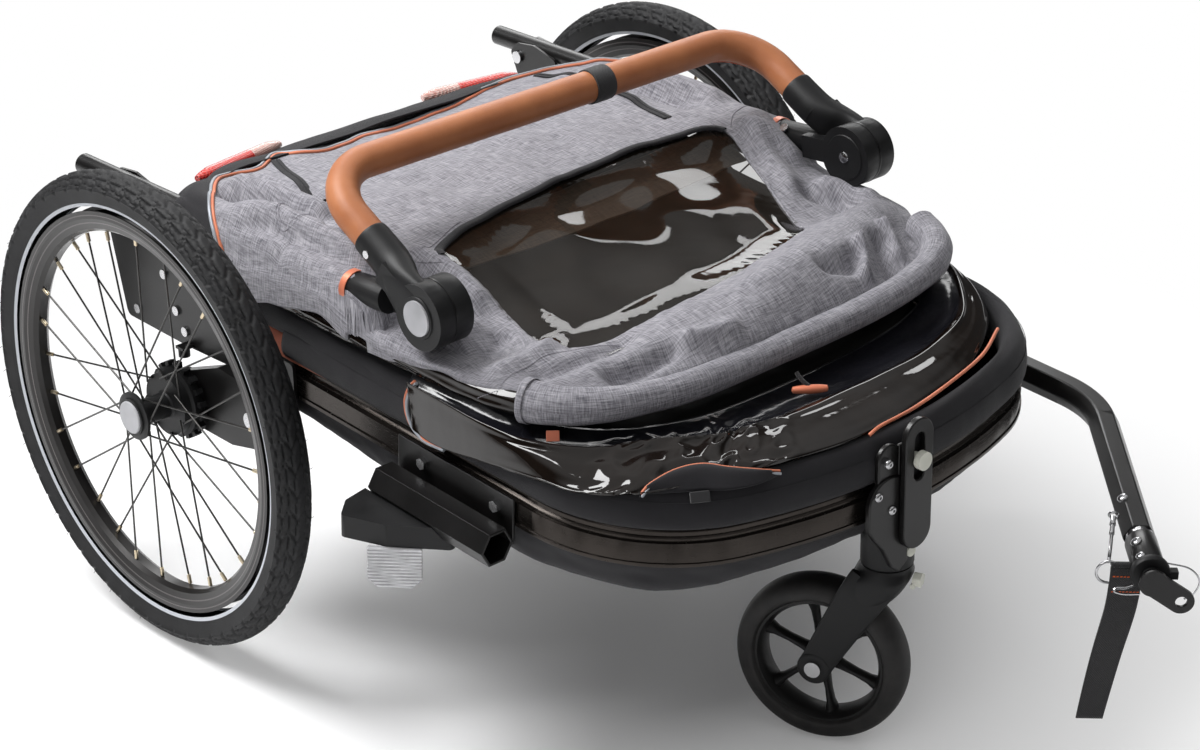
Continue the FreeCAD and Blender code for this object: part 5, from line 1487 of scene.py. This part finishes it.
def makeStrap():
    line = evenLine([(300, -18, -4), (300, -18, -20), (300, -20, -50), (300, -27, -95), (300, -32, -135),
                     (300, -36, -170)], 60)
    widths = [29.5 - 4.5 * (k / 60) ** 2 for k in range(61)]
    place = hitchPlace
    outer = Shape()
    outer.sheet(ribbon([(x + 1.4 + 1.2 * sin(5 * k / 60), y, z) for k, (x, y, z) in enumerate(line)], widths,
                       (0, 1, 0)))
    thick(makePiece("strapWeb", outer, place, "drawbar", "webbing", ["safety_strap"],
                    sharp=60), 2.0, 0)
    inner = Shape()
    inner.sheet(ribbon([(x - 1.6 - 1.6 * sin(pi * k / 60), y + 1.0, z) for k, (x, y, z) in enumerate(line)],
                       [w - 1.0 for w in widths], (0, 1, 0)))
    thick(makePiece("strapBack", inner, place, "drawbar", "webbing", sharp=60), 1.8, 0)
    fold = Shape()
    rows = []
    for k in range(13):
        angle = pi * k / 12
        rows.append([(300 + 2.6 * cos(angle), -18 + share * 14.6, -4 + 3.2 * sin(angle))
                     for share in (-1, -0.9, 0, 0.9, 1)])
    fold.sheet(rows)
    thick(makePiece("strapFold", fold, place, "drawbar", "webbing", sharp=60), 1.8, 0)
    stitches = Shape()
    for level in (-14, -30):
        for k in range(8):
            y = -30 + k * 3.3
            stitches.tube([(303.0, y, level), (303.0, y + 2.2, level + 0.4)], 0.5, 6)
    makePiece("strapStitches", stitches, place, "drawbar", "orangeThread")


def makeHook():
    metal = Shape()
    start, end = Vector((245, -23.7, 19.9)), Vector((297, -34, -5))
    run = end - start
    side = run.cross(Vector((0, 0, 1))).normalized()
    up = side.cross(run).normalized()

    def along(share, a=0.0, b=0.0):
        return start + run * share + side * a + up * b

    eye = [along(0.05, 4.2 * cos(t), 0) + up * 4.2 * sin(t)
           for t in np.linspace(0, 2 * pi, 24, endpoint=False)]
    metal.tube(eye, 1.3, 8, closed=True)
    metal.tube([along(0.10), along(0.16), along(0.24)], lambda s: 3.2 - 0.8 * sin(pi * s), 16)
    metal.tube([along(0.24), along(0.34), along(0.42)], lambda s: 2.0 + 0.6 * s, 12)
    claw = evenLine([along(0.40), along(0.50, 0, 4.5), along(0.66, 0, 5.6), along(0.82, 0, 4.4),
                     along(0.90, 0, 0.4),
                     along(0.84, 0, -3.6), along(0.74, 0, -4.4)], 40)
    metal.tube(claw, 1.7, 10)
    metal.tube([along(0.42, 0, -1.0), along(0.56, 0, -3.4), along(0.73, 0, -4.2)], 1.3, 10)
    metal.tube([along(0.56, 0, -4.0), along(0.56, 0, -7.4)], 1.6, 10)
    ringAt = Vector((300, -34, -13))
    ring = [ringAt + Vector((0, 11 * cos(t), 11 * sin(t) + 2))
            for t in np.linspace(0, 2 * pi, 40, endpoint=False)]
    metal.tube(ring, 1.4, 10, closed=True)
    makePiece("snapHook", metal, hitchPlace, "drawbar", "steel", ["snap_hook"])
    wires = Shape()
    wires.tube(evenLine([(336, 10.7, 21.3), (337, 30, 17), (338, 40.4, 5.5), (337, 38, -8), (336, 29.3, -16)],
                        40),
               0.9, 8)
    wires.tube(evenLine([(318, -10, -12), (320, -20, -15), (321, -29.6, -15.1), (322, -31, -18),
                         (321, -22, -21),
                         (320, -7.4, -21.2)], 40), 1.2, 8)
    makePiece("hitchWires", wires, hitchPlace, "drawbar", "steel")
    cuff = Shape()
    cuff.lathe([(314.2, 15.9), (314.2, 17.6), (316.2, 18.2), (321, 18.2), (323, 17.2), (323, 9.4)], 48)
    cuff.plate([(314, -4.0), (323, -4.0), (323, 4.0), (314, 4.0)], 15, 25, "xzy")
    edged(makePiece("hitchCuff", cuff, hitchPlace, "drawbar", "blackPlastic"), 0.6)


def drawbarBolts():
    bolts = Shape()
    for where, radius in ((206, 5.2), (284, 5.6), (309, 4.6)):
        top = 15.9 if where < 250 else 15
        rows = []
        for height, size in ((top - 1.0, radius), (top + 0.8, radius), (top + 1.9, radius * 0.82),
                             (top + 2.5, radius * 0.5),
                             (top + 2.5, radius * 0.42), (top + 1.2, radius * 0.36), (top + 1.2, 0.1)):
            rows.append([(where + size * cos(2 * pi * k / 24), size * sin(2 * pi * k / 24), height)
                         for k in range(24)])
        bolts.sheet(rows, aroundColumns=True)
    turned = hitchPlace @ Matrix.Rotation(radians(35), 4, "X")
    makePiece("drawbarBolts", bolts, turned, "drawbar", "steel")


makeStrap()
makeHook()
drawbarBolts()
print("hitch made")


# zip pull, tag and loops at the front
def makeSmallTrims():
    pull = Shape()
    centre = Vector((-34, -598, 366))
    across = Vector((0.73, -0.68, 0.05)).normalized()
    pull.tube([centre + across * share for share in (-17, -16, -11, -5, 0, 5, 11, 16, 17)],
              lambda share: 1.2 + 3.2 * sin(pi * share) ** 0.55, 18)
    makePiece("zipPull", pull, trailer, "chassis", "copperPlastic")
    loop = Shape()
    loop.tube(evenLine([centre + Vector((0, 0, 2)), centre + Vector((-3, 8, 8)),
                        centre + Vector((-4, 14, 14))], 12),
              2.2, 10)
    makePiece("zipLoop", loop, trailer, "chassis", "webbing")
    copper, silver = Shape(), Shape()
    raised = evenLine([(-262, -611, 345), (-250, -611, 351), (-226, -617, 358), (-204, -628, 360),
                       (-187, -645, 357),
                       (-164, -661, 352), (-146, -668, 347)], 60)
    for line, radius in ((raised, 1.5),
                         (evenLine([(-40, -678, 349), (-26, -679, 354), (20, -678, 356), (84, -666, 356.5),
                                    (150, -648, 357), (204, -621, 358)], 60), 1.7)):
        copper.tube(line, radius, 10)
    silver.tube([(x - 0.8, y - 2.4, z - 1.4) for x, y, z in raised], 1.2, 10)
    makePiece("bandPipingCopper", copper, trailer, "chassis", "copperPiping")
    makePiece("bandPipingSilver", silver, trailer, "chassis", "silverPiping")
    flap = Shape()
    rows = []
    for index, (x, y, z) in enumerate(raised):
        outward = Vector((x + 100, y + 480, 0)).normalized()
        swell = sin(pi * index / 60)
        rows.append([Vector((x, y, z)) - outward * 3 * swell - Vector((0, 0, 3)),
                     Vector((x, y, z)) + outward * 1.5,
                     Vector((x, y, z - 2.5 * swell)) + outward * 9 * swell,
                     Vector((x, y, min(z, 346) - 2)) + outward * 20 * swell])
    flap.sheet(softNet(rows, 70, 18))
    thick(makePiece("bandFlap", flap, trailer, "chassis", "blackCloth", sharp=80), 1.2)
    tag = Shape()
    tag.plate([(-6, -5), (6, -5), (6, 5), (-6, 5)], 0, 2.4)
    place = trailer @ Matrix.Translation((-272, -508, 369)) @ Matrix.Rotation(radians(-42), 4,
                                                                              "Z") @ Matrix.Rotation(
        radians(60), 4, "X")
    edged(makePiece("rustTag", tag, place, "chassis", "rustCloth"), 0.6)
    tag = Shape()
    tag.plate([(-9, -5), (9, -5), (9, 5), (-9, 5)], 0, 3.2)
    place = trailer @ Matrix.Translation((-222, -644, 340)) @ Matrix.Rotation(radians(-32), 4,
                                                                              "Z") @ Matrix.Rotation(
        radians(58), 4, "X")
    edged(makePiece("bandLoop", tag, place, "chassis", "webbing"), 1.0)


makeSmallTrims()


# front bracket, stem housing and fork with their rounded edges
frontSizes = {"tabHalf": 18.5, "tabLow": 228, "tabHigh": 361, "slotHalf": 7, "slotLow": 299, "slotHigh": 347,
              "screws": ((-34, 324), (-47, 295), (-28, 275)), "stemY": -668, "buttonZ": 222}
forkSizes = {"legStart": 6, "trail": 61.3, "topZ": 186, "axleZ": 86, "legHalf": 24, "outside": 26.6,
             "square": 3.2, "crownTop": 196}
neckSizes = {"square": 2.6, "seamX": 282.2, "seamRadius": 31.0}


def stadium(half, low, high, steps=20):
    top = [(half * cos(pi * k / steps), high - half + half * sin(pi * k / steps)) for k in range(steps + 1)]
    end = [(-half * cos(pi * k / steps), low + half - half * sin(pi * k / steps)) for k in range(steps + 1)]
    return top + end


def squared(c, d, power):
    # how far a rounded square reaches past a circle in the direction c, d
    return (abs(c) ** power + abs(d) ** power) ** (-1 / power)


def makeTab():
    s = frontSizes
    hole = stadium(s["slotHalf"], s["slotLow"], s["slotHigh"])
    outer = stadium(s["tabHalf"], s["tabLow"], s["tabHigh"])
    shape = Shape()
    rings = [[(x, y, z) for x, z in line] for line, y in
             ((outer, -697.5), (outer, -704.3), (hole, -704.3), (hole, -697.5))]
    shape.sheet(rings, aroundRows=True, aroundColumns=True)
    edged(makePiece("stemTab", shape, trailer, "chassis", "blackPaint", ["stem_housing"],
                    sharp=40),
          1.6, 3)
    back = Shape()
    back.plate(stadium(15, 232, 356), -697.6, -696.4, "xzy")
    makePiece("stemTabBack", back, trailer, "chassis", "blackPlastic")


def makeBracket():
    bracket = Shape()
    arch = [(-58, 262)] + [(-31 + 27 * cos(pi * (1 - k / 16)), 285 + 24 * sin(pi * (1 - k / 16)))
                           for k in range(17)]
    arch += [(-4, 214), (-16, 206), (-26, 214), (-38, 236), (-50, 250)]
    bracket.plate(arch, -697.2, -690.6, "xzy")
    high = [(-44, 280)] + [(-30 + 14 * cos(pi * (1 - k / 12)), 328 + 13 * sin(pi * (1 - k / 12)))
                           for k in range(13)]
    high += [(-16, 280)]
    bracket.plate(high, -694.4, -688.5, "xzy")
    bracket.plate([(-18, 253), (-18, 337), (18, 337), (18, 253)], -695.3, -690.3, "xzy")
    edged(makePiece("bracketPlate", bracket, trailer, "chassis", "blackPaint",
                    ["stem_bracket"]), 1.8, 3)
    heads = Shape()
    profile = [(-694, 4.9), (-697.9, 4.9), (-698.6, 4.7), (-699.6, 3.9), (-700.1, 2.6), (-700.1, 1.5),
               (-698.8, 1.2),
               (-698.8, 0.1)]
    for x, z in frontSizes["screws"]:
        heads.sheet([[(x + r * cos(2 * pi * k / 32), y, z + r * sin(2 * pi * k / 32)) for k in range(32)]
                     for y, r in profile], aroundColumns=True)
    makePiece("bracketHeads", heads, trailer, "chassis", "steel", ["bracket_screws"], sharp=40)


def makeStem():
    stem = Shape()
    rows = []
    for z, radius in ((200.6, 23.6), (201.4, 24.9), (203, 25.4), (230, 25.4), (252, 25.2), (260, 24.6),
                      (263, 23.2)):
        rows.append([(radius * cos(2 * pi * k / 64), frontSizes["stemY"] + radius * sin(2 * pi * k / 64), z)
                     for k in range(64)])
    stem.sheet(rows, aroundColumns=True, caps=True)
    makePiece("stemColumn", stem, trailer, "chassis", "blackPlastic", sharp=50)
    seat = Shape()
    turned = (trailer @ Matrix.Translation((0, -692.6, frontSizes["buttonZ"]))
              @ Matrix.Rotation(radians(-90), 4, "Z"))
    seat.lathe([(-4, 9.4), (0.6, 9.2), (1.6, 8.4), (1.6, 6.2), (-4, 6.0)], 48)
    makePiece("buttonRing", seat, turned, "chassis", "blackPlastic")


def makeFork():
    s = forkSizes
    crown = Shape()
    rows = []
    for z, wide, deep, shift in ((200, 24.6, 24.6, 0), (196, 26.2, 26.0, 1), (188, 28.2, 26.8, 3),
                                 (178, 29.4, 26.5, 7), (168, 29.4, 25.0, 13), (160, 29.2, 21, 19)):
        ring = []
        for k in range(48):
            c, d = cos(2 * pi * k / 48), sin(2 * pi * k / 48)
            fill = squared(c, d, s["square"]) if z < s["crownTop"] else 1
            ring.append((wide * c * fill, shift + deep * d * fill, z))
        rows.append(ring)
    crown.sheet(softNet([ring + ring[:1] for ring in rows], 24, 96))
    makePiece("forkCrown", crown, forkPlace, "caster_fork", "blackPlastic", ["caster_fork"],
              sharp=60)
    for word, flip in sides.items():
        leg = Shape()
        rows = []
        for step in range(25):
            share = step / 24
            centreY = s["legStart"] + (s["trail"] - s["legStart"]) * share ** 0.92
            centreZ = s["topZ"] - (s["topZ"] - s["axleZ"]) * share
            wide = s["legHalf"] - 7.5 * min(1, share * 1.1)
            out = s["outside"] - 5.5 * max(0, 1 - share / 0.28) ** 2
            ring = []
            for k in range(28):
                c, d = cos(2 * pi * k / 28), sin(2 * pi * k / 28)
                ring.append((flip * (out + (3.6 - 0.6 * share) * abs(d) ** 0.5 * (1 if d > 0 else -1)),
                             centreY + wide * c * 0.88, centreZ + wide * c * 0.45))
            rows.append(ring)
        leg.sheet(rows, aroundColumns=True, caps=True)
        boss = [(flip * 23.8, 0.1), (flip * 23.8, 15.4), (flip * 24.8, 16.4), (flip * 28.8, 16.4),
                (flip * 30.0, 15.2), (flip * 30.3, 11.0), (flip * 29.6, 0.1)]
        leg.lathe(boss, 48, centre=(0, s["trail"], s["axleZ"]))
        makePiece("forkLeg_" + word, leg, forkPlace, "caster_fork", "blackPlastic", sharp=50)


def makeNecks():
    # the arms run from round sleeves into the flat knuckles of the handle joints
    s = neckSizes
    for word, flip in sides.items():
        neck = Shape()
        rows = []
        for y, wide, high, x in ((101.5, 17.4, 17.4, 283), (98, 18.0, 18.0, 283), (82, 18.2, 18.2, 283),
                                 (64, 18.4, 18.8, 284), (46, 15.2, 21.0, 288.5), (30, 11.6, 24, 292.8),
                                 (8, 11.4, 28, 293.0)):
            ring = []
            for k in range(40):
                c, d = cos(2 * pi * k / 40), sin(2 * pi * k / 40)
                fill = squared(c, d, s["square"]) if y < 60 else 1
                ring.append((flip * (x + wide * c * fill), y, high * d * fill))
            rows.append(ring)
        neck.sheet(softNet([ring + ring[:1] for ring in rows], 40, 80))
        makePiece("armNeck_" + word, neck, handlePlace, "handle", "blackPlastic", sharp=60)
        ring = Shape()
        low, high = flip * s["seamX"], flip * (s["seamX"] + 1.4)
        ring.lathe([(low, s["seamRadius"]), (low, s["seamRadius"] + 1.3), (high, s["seamRadius"] + 1.3),
                    (high, s["seamRadius"])], 72)
        makePiece("hubSeam_" + word, ring, handlePlace, "handle", "blackPaint")


makeTab()
makeBracket()
makeStem()
makeFork()
makeNecks()
print("front bracket, fork and necks made")

# floor, light and sky
floorLook = {"near": 0.28, "far": 1.0, "half": 14}
skyLook = {"horizon": 0.08, "zenith": 0.66, "low": 0.45, "high": 0.8}
lamps = (
    # name, place, what it points at, its two sides and its power
    ("topSoftbox", (-1.0, 1.2, 2.5), (0, 0, 0.3), (1.3, 1.3), 84),
    ("backSoftbox", (1.9, 2.3, 1.7), (0, 0.1, 0.35), (2.2, 1.2), 38),
    ("nearSoftbox", (-2.6, -1.2, 1.5), (0, 0, 0.3), (1.6, 1.6), 7),
)


def makeStage():
    finish = Finish("paleFloor", colour=(0.95, 0.95, 0.955), roughness=0.75, specular=0.2)
    place = finish.place()
    flat = finish.scaled(finish.node("ShaderNodeVectorMath", {"operation": "SUBTRACT"},
                                     [place, (0.05, 0.1, 0)]), (1, 1, 0))
    reach = finish.node("ShaderNodeVectorMath", {"operation": "LENGTH"}, [flat], "Value")
    seen = finish.node("ShaderNodeLightPath", output="Is Camera Ray")
    white = finish.node("ShaderNodeEmission", {}, {"Color": (1, 1, 1), "Strength": 1.0}, "Emission")
    share = reach.between(floorLook["near"], floorLook["far"]) * seen
    mixed = finish.node("ShaderNodeMixShader", {},
                        {0: share, 1: Value(finish, finish.shader.outputs["BSDF"]), 2: white},
                        "Shader")
    finish.tree.links.new(mixed.socket, finish.tree.nodes["Material Output"].inputs["Surface"])
    mesh = bpy.data.meshes.new("floor")
    far = floorLook["half"]
    mesh.from_pydata([(-far, -far, 0), (far, -far, 0), (far, far, 0), (-far, far, 0)], [], [(0, 1, 2, 3)])
    mesh.materials.append(finish.material)
    floor = bpy.data.objects.new("floor", mesh)
    scene.collection.objects.link(floor)
    world = bpy.data.worlds.new("studio")
    world.use_nodes = True
    tree = world.node_tree
    sky = tree.nodes["Background"]
    way = tree.nodes.new("ShaderNodeTexCoord")
    split = tree.nodes.new("ShaderNodeSeparateXYZ")
    rise = tree.nodes.new("ShaderNodeMapRange")
    eye = tree.nodes.new("ShaderNodeLightPath")
    most = tree.nodes.new("ShaderNodeMath")
    most.operation = "MAXIMUM"
    for index, word in enumerate(("low", "high", "horizon", "zenith")):
        rise.inputs[index + 1].default_value = skyLook[word]
    tree.links.new(way.outputs["Generated"], split.inputs[0])
    tree.links.new(split.outputs[2], rise.inputs[0])
    tree.links.new(rise.outputs[0], most.inputs[0])
    tree.links.new(eye.outputs["Is Camera Ray"], most.inputs[1])
    tree.links.new(most.outputs[0], sky.inputs["Strength"])
    sky.inputs["Color"].default_value = (1, 1, 1, 1)
    scene.world = world
    for name, place, target, size, energy in lamps:
        data = bpy.data.lights.new(name, "AREA")
        data.shape = "RECTANGLE"
        data.size, data.size_y = size
        data.energy = energy
        lamp = bpy.data.objects.new(name, data)
        lamp.location = place
        lamp.rotation_euler = (Vector(target) - Vector(place)).to_track_quat("-Z", "Y").to_euler()
        scene.collection.objects.link(lamp)


makeStage()
scene.view_settings.view_transform = "Standard"
print("stage and light made")
